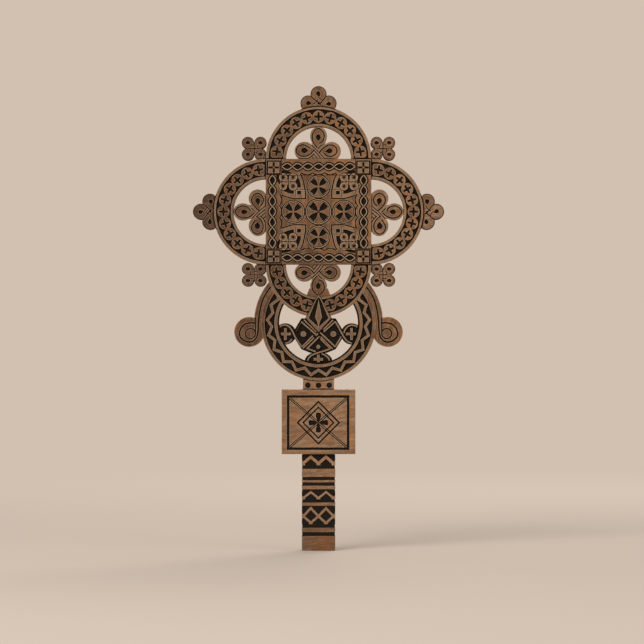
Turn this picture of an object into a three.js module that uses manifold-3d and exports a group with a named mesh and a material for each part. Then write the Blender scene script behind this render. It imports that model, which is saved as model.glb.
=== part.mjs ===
// Wooden hand cross: an openwork head, a lower ring, a neck, a tablet and a handle, joined from boards.
// Millimetres. X is to the right, Z is up, the carved front faces -Y, and the handle's foot is at z = 0.
import * as THREE from "three";
import { mergeVertices } from "three/addons/utils/BufferGeometryUtils.js";
import Module from "manifold-3d";

const wasm = await Module();
wasm.setup();

// Fits
const GAP = 0.3; // open line between two faces that meet
const FIT = 0.2; // room on each side of a tenon, tongue or peg
const ARC_TOLERANCE = 0.045; // how far a straight step may leave its arc
const FAR = 400; // reach of a cutter that passes right through
const OVERLAP = 1; // how far a tenon reaches back into its own board, so that the two are one solid

// Handle, tablet and neck
const HANDLE_WIDTH = 24.8;
const HANDLE_THICKNESS = 15;
const HANDLE_LENGTH = 72.4;
const TABLET_WIDTH = 55;
const TABLET_HEIGHT = 48;
const TABLET_THICKNESS = 20;
const NECK_WIDTH = 23.1;
const NECK_THICKNESS = 15;
const NECK_HEIGHT = 6.9; // from the tablet to the lowest point of the ring
const NECK_FLOOR = 1; // solid wood under the neck's slot
const STEM_TENON_WIDTH = 14;
const STEM_TENON_THICKNESS = 10;
const HANDLE_TENON_LENGTH = 20;
const NECK_TENON_LENGTH = 13;
const TABLET_PEG_RADIUS = 2;
const TABLET_PEG_PAST = 0.5; // how far a blind peg reaches past the tenon that it locks
const RING_TANG_THICKNESS = 5;
const NECK_PEG_RADIUS = 2;
const NECK_PEG_EDGE = 3.55; // from an outer peg's middle to the neck's side
const NECK_PEG_RISE = 3.4; // height of the pegs above the tablet
const PEG_PROUD = 0.4; // how far the neck's pegs stand out of it; the tablet's are flush

// Lower ring and what it holds
const RING_INNER = 29.8;
const RING_OUTER = 43;
const RING_THICKNESS = 14;
const RING_LAP = 6; // how far the ring and the arms reach behind the bottom arch
const ARM_WIDTH = 5;
const ARM_THICKNESS = 12.5;
const VOLUTE_RADIUS = 11.1;
const VOLUTE_OUT = 9.4; // from the ring's outer edge to the volute's centre
const VOLUTE_DROP = 6.5; // volute centre below the ring's centre
const WOVEN_THICKNESS = 13;
const WOVEN_LAP = 3; // how far the woven figure's loops reach behind the ring
const CROSSING_DROP = 8; // the woven figure's crossing below the ring's centre
const LOZENGE_TIP_X = 12.8; // top and bottom corners of a lozenge, from the middle
const LOZENGE_TOP_RISE = 11.6; // above the crossing
const LOZENGE_BOTTOM_DROP = 11.4; // below the crossing
const LOZENGE_IN_LOOP = 2.8; // how far a lozenge's outer corner reaches into its side loop
const SIDE_LOOP_RADIUS = 7.9;
const BOTTOM_LOOP_HALF_WIDTH = 10.2;
const BOTTOM_LOOP_HEIGHT = 6.6;
const BOTTOM_LOOP_RISE = 1.5; // middle of the bottom loop above the ring's lowest inner point
const BOTTOM_EDGE_X = 6; // where the lozenges' lower edge meets the bottom loop
const BOTTOM_EDGE_IN_LOOP = 0.5; // how far that edge lies below the top of the loop
const SPEAR_THICKNESS = 15;
const SPEAR_HALF_WIDTH = 9.8;
const SPEAR_SHOULDER_RISE = 3.8; // side corners above the ring's centre
const SPEAR_FOOT_DROP = 7.1; // lower point below the ring's centre
const SPEAR_LAP = 3.5; // how far the spearhead laps over the woven bands

// Head
const CROWN_RISE = 4.7; // crown of the bottom arch above the ring's centre
const SQUARE_HALF = 39.5; // half the square of rails and corner blocks, and the arches' outer radius
const RAIL_WIDTH = 11.8; // also the side of a corner block
const RAIL_THICKNESS = 14;
const BLOCK_THICKNESS = 15.2;
const PANEL_THICKNESS = 12;
const PANEL_TONGUE = 2.2;
const PANEL_TONGUE_THICKNESS = 3;
const PANEL_TONGUE_SETBACK = 4; // from the end of a panel side to the end of its tongue
const TENON_LENGTH = 4;
const TENON_WIDTH = 6;
const TENON_THICKNESS = 4;
const JOINT_WALL = 0.5; // wood between a mortise and the slot of a corner tongue
const ARCH_INNER = 24.6;
const ARCH_THICKNESS = 14;

// Knots and finials, measured outwards from the head's centre
const KNOT_THICKNESS = 12;
const KNOT_SIDE_X = 9.9;
const KNOT_SIDE_RISE = 6.1; // side loops above the rail
const KNOT_SIDE_RADIUS = 6.7;
const KNOT_LONG_SIDE_EXTRA = 1.3; // one side loop of each knot is drawn out sideways by this much
const KNOT_TIP_HALF_WIDTH = 6.2;
const KNOT_TO_ARCH = 0.4; // open space between a knot's tip and its arch
const BOTTOM_KNOT_SHORTER = 2.9; // the bottom knot leaves room for the spearhead
const KNOT_WAIST_HALF_WIDTH = 4.8;
const KNOT_WAIST_RISE = 11;
const WEB_HALF_WIDTH = 9; // fillets that hold the bottom knot's tip in its arch
const WEB_TOP_HALF_WIDTH = 6.8;
const WEB_RISE = 6.6; // height of the fillets from the arch's inner edge
const FINIAL_THICKNESS = 12;
const FINIAL_SIDE_X = 7.7;
const FINIAL_SIDE_RISE = 2.4; // side loops above the arch's crown
const FINIAL_SIDE_RADIUS = 5.75;
const FINIAL_TIP_RISE = 9.2;
const FINIAL_TIP_RADIUS = 5.95;
const FINIAL_WAIST_HALF_WIDTH = 5.4;
const CORNER_KNOT_THICKNESS = 12;
const CORNER_LOOP_RADIUS = 4.46;
const CORNER_LOOP_INNER_X = 4.1; // inner loops beyond the square
const CORNER_LOOP_INNER_Z = 3.5;
const CORNER_LOOP_PITCH_X = 9.4;
const CORNER_LOOP_PITCH_Z = 8.7;
const CORNER_TONGUE_THICKNESS = 2.2;
const CORNER_TONGUE_WIDTH = 3;
const CORNER_TONGUE_LENGTH = 3.4; // into the block, along its diagonal

// Places that follow from the sizes above
const TABLET_TOP = HANDLE_LENGTH + GAP + TABLET_HEIGHT;
const ARCH_OUTER = SQUARE_HALF;
const RING_TO_ARCH = CROWN_RISE + ARCH_OUTER; // from the ring's centre to the bottom arch's
const RING_TO_HEAD = RING_TO_ARCH + SQUARE_HALF;
const RING_CENTRE_Z = TABLET_TOP + NECK_HEIGHT + RING_OUTER;
const HEAD_CENTRE_Z = RING_CENTRE_Z + RING_TO_HEAD;
// Joints that lie along X sit this far in front of the middle plane, those along Z this far behind.
const TENON_DEPTH_OFFSET = (CORNER_TONGUE_THICKNESS + TENON_THICKNESS) / 2 + 2 * FIT + JOINT_WALL;
const RAIL_INSIDE = SQUARE_HALF - RAIL_WIDTH;
const BLOCK_MIDDLE = SQUARE_HALF - RAIL_WIDTH / 2;
const ARM_OUTER = RING_OUTER + GAP + ARM_WIDTH;
const VOLUTE_X = Math.sqrt((RING_OUTER + VOLUTE_OUT) ** 2 - VOLUTE_DROP ** 2);
const SIDE_LOOP_X = RING_INNER + WOVEN_LAP - SIDE_LOOP_RADIUS;
const LOZENGE_SIDE_X = SIDE_LOOP_X - SIDE_LOOP_RADIUS + LOZENGE_IN_LOOP;
const BOTTOM_LOOP_Z = BOTTOM_LOOP_RISE - RING_INNER; // from the ring's centre
const BOTTOM_EDGE_Z = BOTTOM_LOOP_Z + BOTTOM_LOOP_HEIGHT - BOTTOM_EDGE_IN_LOOP;

// Draws points along an arc, in degrees from +X, with steps that stay within the arc tolerance.
function arc(centreX, centreZ, radiusX, from, to, radiusZ = radiusX) {
  const stepAngle = 2 * Math.acos(1 - ARC_TOLERANCE / Math.max(radiusX, radiusZ));
  const span = THREE.MathUtils.degToRad(to - from);
  const steps = Math.ceil(Math.abs(span) / stepAngle);
  const points = [];
  for (let i = 0; i <= steps; i++) {
    const angle = THREE.MathUtils.degToRad(from) + (span * i) / steps;
    points.push([centreX + radiusX * Math.cos(angle), centreZ + radiusZ * Math.sin(angle)]);
  }
  return points;
}

// Draws a closed circle or ellipse.
function loop(centreX, centreZ, radiusX, radiusZ = radiusX) {
  return arc(centreX, centreZ, radiusX, 0, 360, radiusZ).slice(0, -1);
}

// Draws an upright rectangle from its left, lower, right and upper sides.
function rectangle(left, lower, right, upper) {
  return [
    [left, lower],
    [right, lower],
    [right, upper],
    [left, upper],
  ];
}

// Turns a closed geometry into a solid that can be joined and cut.
function solidOf(geometry) {
  geometry.deleteAttribute("normal");
  geometry.deleteAttribute("uv");
  const merged = mergeVertices(geometry);
  const vertProperties = merged.attributes.position.array;
  const triVerts = new Uint32Array(merged.index.array);
  return new wasm.Manifold(new wasm.Mesh({ numProp: 3, vertProperties, triVerts }));
}

// Makes a board of an outline drawn in X and Z, from its front depth to its back depth along Y.
function board(outline, front, back) {
  const shape = new THREE.Shape(outline.map(([x, z]) => new THREE.Vector2(x, z)));
  const geometry = new THREE.ExtrudeGeometry(shape, { depth: back - front, bevelEnabled: false });
  geometry.rotateX(Math.PI / 2);
  geometry.translate(0, back, 0);
  return solidOf(geometry);
}

// Makes a board whose thickness is centred on the middle plane, or on another depth.
function plate(outline, thickness, middle = 0) {
  return board(outline, middle - thickness / 2, middle + thickness / 2);
}

// Makes a cutter of an outline that passes right through.
function through(outline) {
  return board(outline, -FAR, FAR);
}

// Makes a cutter of an outline that takes away the front half, up to the lap's open line.
function frontHalf(outline) {
  return board(outline, -FAR, GAP / 2);
}

// Makes a cutter of an outline that takes away the back half.
function backHalf(outline) {
  return board(outline, -GAP / 2, FAR);
}

// Makes the cutter for everything between two circles around a centre.
function annulus(centreX, centreZ, inner, outer, cutter) {
  return cutter(loop(centreX, centreZ, outer)).subtract(through(loop(centreX, centreZ, inner)));
}

// Makes a round peg along Y.
function peg(centreX, centreZ, radius, front, back) {
  return board(loop(centreX, centreZ, radius), front, back);
}

const woodColour = new THREE.Color(0.42, 0.26, 0.15);
const darkWoodColour = new THREE.Color(0.3, 0.18, 0.1);
const blackenedColour = new THREE.Color(0.03, 0.025, 0.02);
const WOOD_ROUGHNESS = 0.6;
const BLACKENED_ROUGHNESS = 0.8;

// Wraps a solid as a named mesh with its own material.
function pieceMesh(name, solid, color = woodColour, roughness = WOOD_ROUGHNESS) {
  const { vertProperties, triVerts } = solid.getMesh();
  const geometry = new THREE.BufferGeometry();
  geometry.setAttribute("position", new THREE.BufferAttribute(vertProperties, 3));
  geometry.setIndex(new THREE.BufferAttribute(triVerts, 1));
  const material = new THREE.MeshStandardMaterial({ color, roughness, metalness: 0, flatShading: true });
  const mesh = new THREE.Mesh(geometry, material);
  mesh.name = name;
  return mesh;
}

// Head. Each quarter is drawn as the top one, around the head's centre, and turned about Y.

// Draws the tenon that leaves a board along X at a given end; the sign tells which way it points.
function tenonAlongX(endX, middleZ, sign, room = 0) {
  const tip = endX + sign * (TENON_LENGTH + room);
  const root = endX - sign * OVERLAP;
  const half = TENON_WIDTH / 2 + room;
  return rectangle(Math.min(tip, root), middleZ - half, Math.max(tip, root), middleZ + half);
}

// Draws the tenon that leaves a board downwards at a given height.
function tenonDown(middleX, endZ, room = 0) {
  const half = TENON_WIDTH / 2 + room;
  return rectangle(middleX - half, endZ - TENON_LENGTH - room, middleX + half, endZ + OVERLAP);
}

// Gives how far the tip of an inner knot lies from the head's centre; the bottom knot's tip is shorter.
function innerKnotEnd(shorter) {
  return SQUARE_HALF + ARCH_INNER - KNOT_TO_ARCH - shorter;
}

// Gives the upright radius of an inner knot's tip loop, which starts at the waist.
function innerKnotTipRadius(shorter) {
  return (innerKnotEnd(shorter) - SQUARE_HALF - KNOT_WAIST_RISE + OVERLAP / 2) / 2;
}

function innerKnotTip(shorter, grow = 0) {
  const radiusZ = innerKnotTipRadius(shorter);
  return loop(0, innerKnotEnd(shorter) - radiusZ, KNOT_TIP_HALF_WIDTH + grow, radiusZ + grow);
}

// Draws the crossing strands of an inner knot, from the rail up into the tip loop.
function innerKnotWaist(shorter) {
  const top = innerKnotEnd(shorter) - innerKnotTipRadius(shorter);
  const topHalf = KNOT_TIP_HALF_WIDTH - GAP;
  const neckZ = SQUARE_HALF + KNOT_WAIST_RISE;
  return [
    [-KNOT_SIDE_X, SQUARE_HALF],
    [KNOT_SIDE_X, SQUARE_HALF],
    [KNOT_WAIST_HALF_WIDTH, neckZ],
    [topHalf, top],
    [-topHalf, top],
    [-KNOT_WAIST_HALF_WIDTH, neckZ],
  ];
}

// Draws a side loop of an inner knot. The loop on the long side reaches further out.
function innerKnotSide(sign, longSide) {
  const stretch = sign === longSide ? KNOT_LONG_SIDE_EXTRA / 2 : 0;
  const sideZ = SQUARE_HALF + KNOT_SIDE_RISE;
  return loop(sign * (KNOT_SIDE_X + stretch), sideZ, KNOT_SIDE_RADIUS + stretch, KNOT_SIDE_RADIUS);
}

function innerKnot(longSide, shorter) {
  return plate(innerKnotTip(shorter), KNOT_THICKNESS)
    .add(plate(innerKnotWaist(shorter), KNOT_THICKNESS))
    .add(plate(innerKnotSide(-1, longSide), KNOT_THICKNESS))
    .add(plate(innerKnotSide(1, longSide), KNOT_THICKNESS))
    .subtract(through(rectangle(-FAR, -FAR, FAR, SQUARE_HALF + GAP)))
    .add(plate(tenonDown(0, SQUARE_HALF + GAP), TENON_THICKNESS));
}

function ropeRail(tenonDepth) {
  const end = RAIL_INSIDE - GAP;
  const tongueEnd = RAIL_INSIDE - GAP - PANEL_TONGUE_SETBACK + FIT;
  const groove = rectangle(-tongueEnd, -FAR, tongueEnd, RAIL_INSIDE + PANEL_TONGUE + FIT);
  return plate(rectangle(-end, RAIL_INSIDE, end, SQUARE_HALF), RAIL_THICKNESS)
    .add(plate(tenonAlongX(end, BLOCK_MIDDLE, 1), TENON_THICKNESS, tenonDepth))
    .add(plate(tenonAlongX(-end, BLOCK_MIDDLE, -1), TENON_THICKNESS, tenonDepth))
    .subtract(plate(groove, PANEL_TONGUE_THICKNESS + 2 * FIT))
    .subtract(plate(tenonDown(0, SQUARE_HALF, FIT), TENON_THICKNESS + 2 * FIT));
}

// Draws the tongue that ties a corner knot to its block through the feet of both arches.
function cornerTongue(signX, signZ, room) {
  const half = (CORNER_TONGUE_WIDTH / 2 + room) * Math.SQRT1_2;
  const tip = SQUARE_HALF - (CORNER_TONGUE_LENGTH + room) * Math.SQRT1_2;
  const root = SQUARE_HALF + (CORNER_LOOP_INNER_X + CORNER_LOOP_INNER_Z) / 2;
  return [
    [signX * (tip + half), signZ * (tip - half)],
    [signX * (root + half), signZ * (root - half)],
    [signX * (root - half), signZ * (root + half)],
    [signX * (tip - half), signZ * (tip + half)],
  ];
}

function cornerTongueCut(signX, signZ) {
  return plate(cornerTongue(signX, signZ, FIT), CORNER_TONGUE_THICKNESS + 2 * FIT);
}

function cornerBlock(railTenonDepth, archTenonDepth) {
  const thickness = TENON_THICKNESS + 2 * FIT;
  const inner = tenonAlongX(RAIL_INSIDE - GAP, BLOCK_MIDDLE, 1, FIT);
  const outer = tenonAlongX(SQUARE_HALF + GAP, BLOCK_MIDDLE, -1, FIT);
  return plate(rectangle(RAIL_INSIDE, RAIL_INSIDE, SQUARE_HALF, SQUARE_HALF), BLOCK_THICKNESS)
    .subtract(plate(inner, thickness, railTenonDepth))
    .subtract(plate(outer, thickness, railTenonDepth))
    .subtract(plate(swapAxes(inner), thickness, archTenonDepth))
    .subtract(plate(swapAxes(outer), thickness, archTenonDepth))
    .subtract(cornerTongueCut(1, 1));
}

// Swaps X and Z in an outline.
function swapAxes(outline) {
  return outline.map(([x, z]) => [z, x]);
}

// Draws the half ring of an arch, standing on the square.
function archOutline() {
  const footAngle = (radius) => THREE.MathUtils.radToDeg(Math.asin(GAP / radius));
  const outerFoot = footAngle(ARCH_OUTER);
  const innerFoot = footAngle(ARCH_INNER);
  return [
    ...arc(0, SQUARE_HALF, ARCH_OUTER, outerFoot, 180 - outerFoot),
    ...arc(0, SQUARE_HALF, ARCH_INNER, 180 - innerFoot, innerFoot),
  ];
}

function arch(tenonDepth) {
  const foot = SQUARE_HALF + GAP;
  return plate(archOutline(), ARCH_THICKNESS)
    .add(plate(tenonDown(-BLOCK_MIDDLE, foot), TENON_THICKNESS, tenonDepth))
    .add(plate(tenonDown(BLOCK_MIDDLE, foot), TENON_THICKNESS, tenonDepth))
    .subtract(cornerTongueCut(1, 1))
    .subtract(cornerTongueCut(-1, 1));
}

function archWithFinial(tenonDepth) {
  const crown = SQUARE_HALF + ARCH_OUTER;
  return arch(tenonDepth).subtract(plate(tenonDown(0, crown, FIT), TENON_THICKNESS + 2 * FIT));
}

function finial() {
  const crown = SQUARE_HALF + ARCH_OUTER;
  const sideZ = crown + FINIAL_SIDE_RISE;
  const tipZ = crown + FINIAL_TIP_RISE;
  const waist = rectangle(-FINIAL_WAIST_HALF_WIDTH, crown - OVERLAP, FINIAL_WAIST_HALF_WIDTH, tipZ);
  return plate(loop(0, tipZ, FINIAL_TIP_RADIUS), FINIAL_THICKNESS)
    .add(plate(loop(-FINIAL_SIDE_X, sideZ, FINIAL_SIDE_RADIUS), FINIAL_THICKNESS))
    .add(plate(loop(FINIAL_SIDE_X, sideZ, FINIAL_SIDE_RADIUS), FINIAL_THICKNESS))
    .add(plate(waist, FINIAL_THICKNESS))
    .subtract(through(loop(0, SQUARE_HALF, ARCH_OUTER + GAP)))
    .add(plate(tenonDown(0, crown), TENON_THICKNESS));
}

function cornerKnot(signX, signZ) {
  const innerX = SQUARE_HALF + CORNER_LOOP_INNER_X;
  const innerZ = SQUARE_HALF + CORNER_LOOP_INNER_Z;
  const outerX = innerX + CORNER_LOOP_PITCH_X;
  const outerZ = innerZ + CORNER_LOOP_PITCH_Z;
  let knot = plate(
    rectangle(
      Math.min(signX * innerX, signX * outerX),
      Math.min(signZ * innerZ, signZ * outerZ),
      Math.max(signX * innerX, signX * outerX),
      Math.max(signZ * innerZ, signZ * outerZ),
    ),
    CORNER_KNOT_THICKNESS,
  );
  for (const x of [innerX, outerX]) {
    for (const z of [innerZ, outerZ]) {
      knot = knot.add(plate(loop(signX * x, signZ * z, CORNER_LOOP_RADIUS), CORNER_KNOT_THICKNESS));
    }
  }
  return knot
    .subtract(through(loop(0, signZ * SQUARE_HALF, ARCH_OUTER + GAP)))
    .subtract(through(loop(signX * SQUARE_HALF, 0, ARCH_OUTER + GAP)))
    .subtract(through(loop(0, -RING_TO_HEAD, ARM_OUTER + GAP))) // keeps a lower knot clear of the scroll arm
    .add(plate(cornerTongue(signX, signZ, 0), CORNER_TONGUE_THICKNESS));
}

function centrePanel() {
  const half = RAIL_INSIDE - GAP;
  const tongueReach = RAIL_INSIDE + PANEL_TONGUE;
  const tongueEnd = half - PANEL_TONGUE_SETBACK;
  const tongue = rectangle(-tongueReach, -tongueEnd, tongueReach, tongueEnd);
  return plate(rectangle(-half, -half, half, half), PANEL_THICKNESS)
    .add(plate(tongue, PANEL_TONGUE_THICKNESS))
    .add(plate(swapAxes(tongue), PANEL_TONGUE_THICKNESS));
}

// Lower ring and what it holds. These are drawn around the ring's centre.

// Draws the kite of the spearhead; inset moves its lower edges inwards, and grow moves every edge outwards.
function spearKite(inset = 0, grow = 0) {
  const apexRise = RING_TO_HEAD - innerKnotEnd(BOTTOM_KNOT_SHORTER) - GAP;
  const lowerSlope = (SPEAR_SHOULDER_RISE + SPEAR_FOOT_DROP) / SPEAR_HALF_WIDTH;
  const upperSlope = (apexRise - SPEAR_SHOULDER_RISE) / SPEAR_HALF_WIDTH;
  const lowerShift = (grow - inset) * Math.hypot(1, lowerSlope);
  const upperShift = grow * Math.hypot(1, upperSlope);
  const footZ = -SPEAR_FOOT_DROP - lowerShift;
  const apexZ = apexRise + upperShift;
  const sideX = (apexZ - footZ) / (lowerSlope + upperSlope);
  const sideZ = footZ + lowerSlope * sideX;
  return [
    [0, footZ],
    [sideX, sideZ],
    [0, apexZ],
    [-sideX, sideZ],
  ];
}

function spearhead() {
  const frontFace = -SPEAR_THICKNESS / 2;
  const archBand = annulus(0, RING_TO_ARCH, ARCH_INNER - GAP, ARCH_OUTER + GAP, backHalf);
  const hiddenTip = rectangle(-FAR, RING_TO_ARCH - ARCH_INNER, FAR, FAR);
  return board(spearKite(), frontFace, -GAP / 2)
    .add(plate(spearKite(SPEAR_LAP), SPEAR_THICKNESS))
    .subtract(archBand)
    .subtract(backHalf(hiddenTip));
}

// Draws the half of the woven figure that lies on one side of the middle.
function lozenge(sign) {
  const crossing = -CROSSING_DROP;
  return [
    [sign * LOZENGE_TIP_X, crossing + LOZENGE_TOP_RISE],
    [sign * LOZENGE_SIDE_X, crossing],
    [sign * LOZENGE_TIP_X, crossing - LOZENGE_BOTTOM_DROP],
    [sign * BOTTOM_EDGE_X, BOTTOM_EDGE_Z],
    [-sign * OVERLAP, BOTTOM_EDGE_Z],
    [-sign * OVERLAP, crossing + LOZENGE_TOP_RISE],
  ];
}

// Draws the woven figure's side loop, on one side of the middle.
function sideLoop(sign, grow = 0) {
  return loop(sign * SIDE_LOOP_X, -CROSSING_DROP, SIDE_LOOP_RADIUS + grow);
}

// Draws the woven figure's bottom loop, carried down past the ring's inner edge.
function bottomLoop(grow = 0) {
  const half = BOTTOM_LOOP_HALF_WIDTH + grow;
  const top = arc(0, BOTTOM_LOOP_Z, half, 0, 180, BOTTOM_LOOP_HEIGHT + grow);
  return [...top, [-half, -RING_OUTER], [half, -RING_OUTER]];
}

function wovenLozenges() {
  return plate(lozenge(-1), WOVEN_THICKNESS)
    .add(plate(lozenge(1), WOVEN_THICKNESS))
    .add(plate(sideLoop(-1), WOVEN_THICKNESS))
    .add(plate(sideLoop(1), WOVEN_THICKNESS))
    .add(plate(bottomLoop(), WOVEN_THICKNESS))
    .subtract(annulus(0, 0, RING_INNER - GAP, FAR, frontHalf))
    .subtract(annulus(0, 0, RING_INNER + WOVEN_LAP, FAR, through))
    .subtract(frontHalf(spearKite(0, GAP)))
    .subtract(backHalf(spearKite(SPEAR_LAP, GAP)));
}

// Makes the recesses in the ring's back that the woven figure's loops are laid into.
function wovenLapCut() {
  return backHalf(sideLoop(-1, GAP))
    .add(backHalf(sideLoop(1, GAP)))
    .add(backHalf(bottomLoop(GAP)))
    .subtract(annulus(0, 0, RING_INNER + WOVEN_LAP + GAP, FAR, through));
}

function lowerRing() {
  const tangHalf = NECK_WIDTH / 2;
  const tangEnd = GAP + NECK_FLOOR + GAP - RING_OUTER - NECK_HEIGHT;
  let ring = plate(loop(0, 0, RING_OUTER), RING_THICKNESS)
    .subtract(through(loop(0, 0, RING_INNER)))
    .add(
      plate(rectangle(-tangHalf, tangEnd, tangHalf, -RING_INNER - 2 * OVERLAP), RING_TANG_THICKNESS).subtract(
        through(loop(0, 0, RING_INNER + OVERLAP)),
      ),
    )
    .subtract(through(loop(0, RING_TO_ARCH, ARCH_OUTER - RING_LAP)))
    .subtract(frontHalf(loop(0, RING_TO_ARCH, ARCH_OUTER + GAP)))
    .subtract(wovenLapCut());
  for (const x of NECK_PEG_PLACES) {
    ring = ring.subtract(peg(x, NECK_PEG_Z - RING_CENTRE_Z, NECK_PEG_RADIUS + FIT, -FAR, FAR));
  }
  return ring;
}

// Draws the band of a scroll arm, which runs outside the ring up to the middle line.
function scrollArmBand(sign) {
  const start = sign > 0 ? 0 : 180;
  return [...arc(0, 0, ARM_OUTER, start, 90), ...arc(0, 0, RING_INNER, 90, start)];
}

function scrollArm(sign) {
  return plate(scrollArmBand(sign), ARM_THICKNESS)
    .add(plate(loop(sign * VOLUTE_X, -VOLUTE_DROP, VOLUTE_RADIUS), ARM_THICKNESS))
    .subtract(through(loop(0, 0, RING_OUTER + GAP)))
    .subtract(through(loop(0, RING_TO_ARCH, ARCH_OUTER - RING_LAP)))
    .subtract(frontHalf(loop(0, RING_TO_ARCH, ARCH_OUTER + GAP)));
}

// Makes the bottom arch. It is drawn as a top one, so the ring's centre lies beyond its crown.
function bottomArch(tenonDepth) {
  const lapCut = annulus(0, RING_TO_HEAD, RING_INNER - GAP, ARM_OUTER + GAP, backHalf).subtract(
    through(loop(0, SQUARE_HALF, ARCH_OUTER - RING_LAP - GAP)),
  );
  const spearCut = spearKite(0, GAP).map(([x, z]) => [x, RING_TO_HEAD - z]);
  const webBase = SQUARE_HALF + ARCH_INNER;
  const web = [
    [-WEB_HALF_WIDTH, webBase - OVERLAP],
    [-WEB_TOP_HALF_WIDTH, webBase - WEB_RISE],
    [WEB_TOP_HALF_WIDTH, webBase - WEB_RISE],
    [WEB_HALF_WIDTH, webBase - OVERLAP],
    [WEB_HALF_WIDTH, webBase + OVERLAP],
    [-WEB_HALF_WIDTH, webBase + OVERLAP],
  ];
  return arch(tenonDepth)
    .add(plate(web, ARCH_THICKNESS))
    .subtract(through(innerKnotTip(BOTTOM_KNOT_SHORTER, GAP)))
    .subtract(lapCut)
    .subtract(frontHalf(spearCut));
}

// Neck, tablet and handle. These are drawn where they stand.

const NECK_PEG_PITCH = NECK_WIDTH / 2 - NECK_PEG_EDGE;
const NECK_PEG_PLACES = [-NECK_PEG_PITCH, 0, NECK_PEG_PITCH];
const TABLET_PEG_FRONT = -STEM_TENON_THICKNESS / 2 - TABLET_PEG_PAST;
const NECK_PEG_Z = TABLET_TOP + NECK_PEG_RISE;
const HANDLE_PEG_Z = HANDLE_LENGTH + HANDLE_TENON_LENGTH / 2;
const UPPER_PEG_Z = TABLET_TOP - NECK_TENON_LENGTH / 2;

// Draws a tenon on the middle line between two heights, with room at its sides.
function stemTenon(lower, upper, room = 0) {
  const half = STEM_TENON_WIDTH / 2 + room;
  return rectangle(-half, lower, half, upper);
}

function neckBlock() {
  const half = NECK_WIDTH / 2;
  const foot = TABLET_TOP + GAP;
  const tenon = stemTenon(foot - NECK_TENON_LENGTH, foot + NECK_FLOOR);
  const slot = rectangle(-FAR, foot + NECK_FLOOR, FAR, FAR);
  let neck = plate(rectangle(-half, foot, half, RING_CENTRE_Z), NECK_THICKNESS)
    .subtract(through(loop(0, RING_CENTRE_Z, RING_OUTER + GAP)))
    .subtract(plate(slot, RING_TANG_THICKNESS + 2 * FIT))
    .add(plate(tenon, STEM_TENON_THICKNESS))
    .subtract(tabletPegHole(UPPER_PEG_Z));
  for (const x of NECK_PEG_PLACES) {
    neck = neck.subtract(peg(x, NECK_PEG_Z, NECK_PEG_RADIUS + FIT, -FAR, FAR));
  }
  return neck;
}

// Makes the blind hole that a tablet peg is driven into from the back.
function tabletPegHole(pegZ) {
  return peg(0, pegZ, TABLET_PEG_RADIUS + FIT, TABLET_PEG_FRONT - FIT, FAR);
}

function tabletPeg(pegZ) {
  return peg(0, pegZ, TABLET_PEG_RADIUS, TABLET_PEG_FRONT, TABLET_THICKNESS / 2);
}

function tablet() {
  const half = TABLET_WIDTH / 2;
  const lower = HANDLE_LENGTH + GAP;
  const mortiseThickness = STEM_TENON_THICKNESS + 2 * FIT;
  const lowerMortise = stemTenon(lower - OVERLAP, HANDLE_LENGTH + HANDLE_TENON_LENGTH + FIT, FIT);
  const upperMortise = stemTenon(TABLET_TOP + GAP - NECK_TENON_LENGTH - FIT, TABLET_TOP + OVERLAP, FIT);
  return plate(rectangle(-half, lower, half, TABLET_TOP), TABLET_THICKNESS)
    .subtract(plate(lowerMortise, mortiseThickness))
    .subtract(plate(upperMortise, mortiseThickness))
    .subtract(tabletPegHole(HANDLE_PEG_Z))
    .subtract(tabletPegHole(UPPER_PEG_Z));
}

function handle() {
  const half = HANDLE_WIDTH / 2;
  const tenon = stemTenon(HANDLE_LENGTH - OVERLAP, HANDLE_LENGTH + HANDLE_TENON_LENGTH);
  return plate(rectangle(-half, 0, half, HANDLE_LENGTH), HANDLE_THICKNESS)
    .add(plate(tenon, STEM_TENON_THICKNESS))
    .subtract(tabletPegHole(HANDLE_PEG_Z));
}

// Assembly

const SIDES = ["top", "right", "bottom", "left"];
const KNOT_LONG_SIDES = [-1, 1, 1, -1]; // the sign of X, in each side's own frame before it is turned
const CORNERS = ["upper_right", "lower_right", "lower_left", "upper_left"];

// Builds one side of the head with the corner block at its right end, turned into place.
function headQuarter(turn) {
  const side = SIDES[turn];
  const railLiesAlongX = turn % 2 === 0;
  const railTenonDepth = railLiesAlongX ? -TENON_DEPTH_OFFSET : TENON_DEPTH_OFFSET;
  const quarter = new THREE.Group();
  quarter.rotation.y = (turn * Math.PI) / 2;
  quarter.add(pieceMesh("rope_rail_" + side, ropeRail(railTenonDepth)));
  quarter.add(pieceMesh("corner_block_" + CORNERS[turn], cornerBlock(railTenonDepth, -railTenonDepth)));
  if (side === "bottom") {
    quarter.add(pieceMesh("arch_bottom", bottomArch(-railTenonDepth)));
    quarter.add(pieceMesh("inner_knot_bottom", innerKnot(KNOT_LONG_SIDES[turn], BOTTOM_KNOT_SHORTER)));
  } else {
    quarter.add(pieceMesh("arch_" + side, archWithFinial(-railTenonDepth)));
    quarter.add(pieceMesh("inner_knot_" + side, innerKnot(KNOT_LONG_SIDES[turn], 0)));
    quarter.add(pieceMesh("finial_" + side, finial(), darkWoodColour));
  }
  return quarter;
}

function head() {
  const group = new THREE.Group();
  group.position.z = HEAD_CENTRE_Z;
  group.add(pieceMesh("centre_panel", centrePanel()));
  for (let turn = 0; turn < SIDES.length; turn++) {
    group.add(headQuarter(turn));
  }
  for (const [upDown, signZ] of [["upper", 1], ["lower", -1]]) {
    for (const [leftRight, signX] of [["left", -1], ["right", 1]]) {
      const name = "corner_knot_" + upDown + "_" + leftRight;
      group.add(pieceMesh(name, cornerKnot(signX, signZ), darkWoodColour));
    }
  }
  return group;
}

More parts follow.
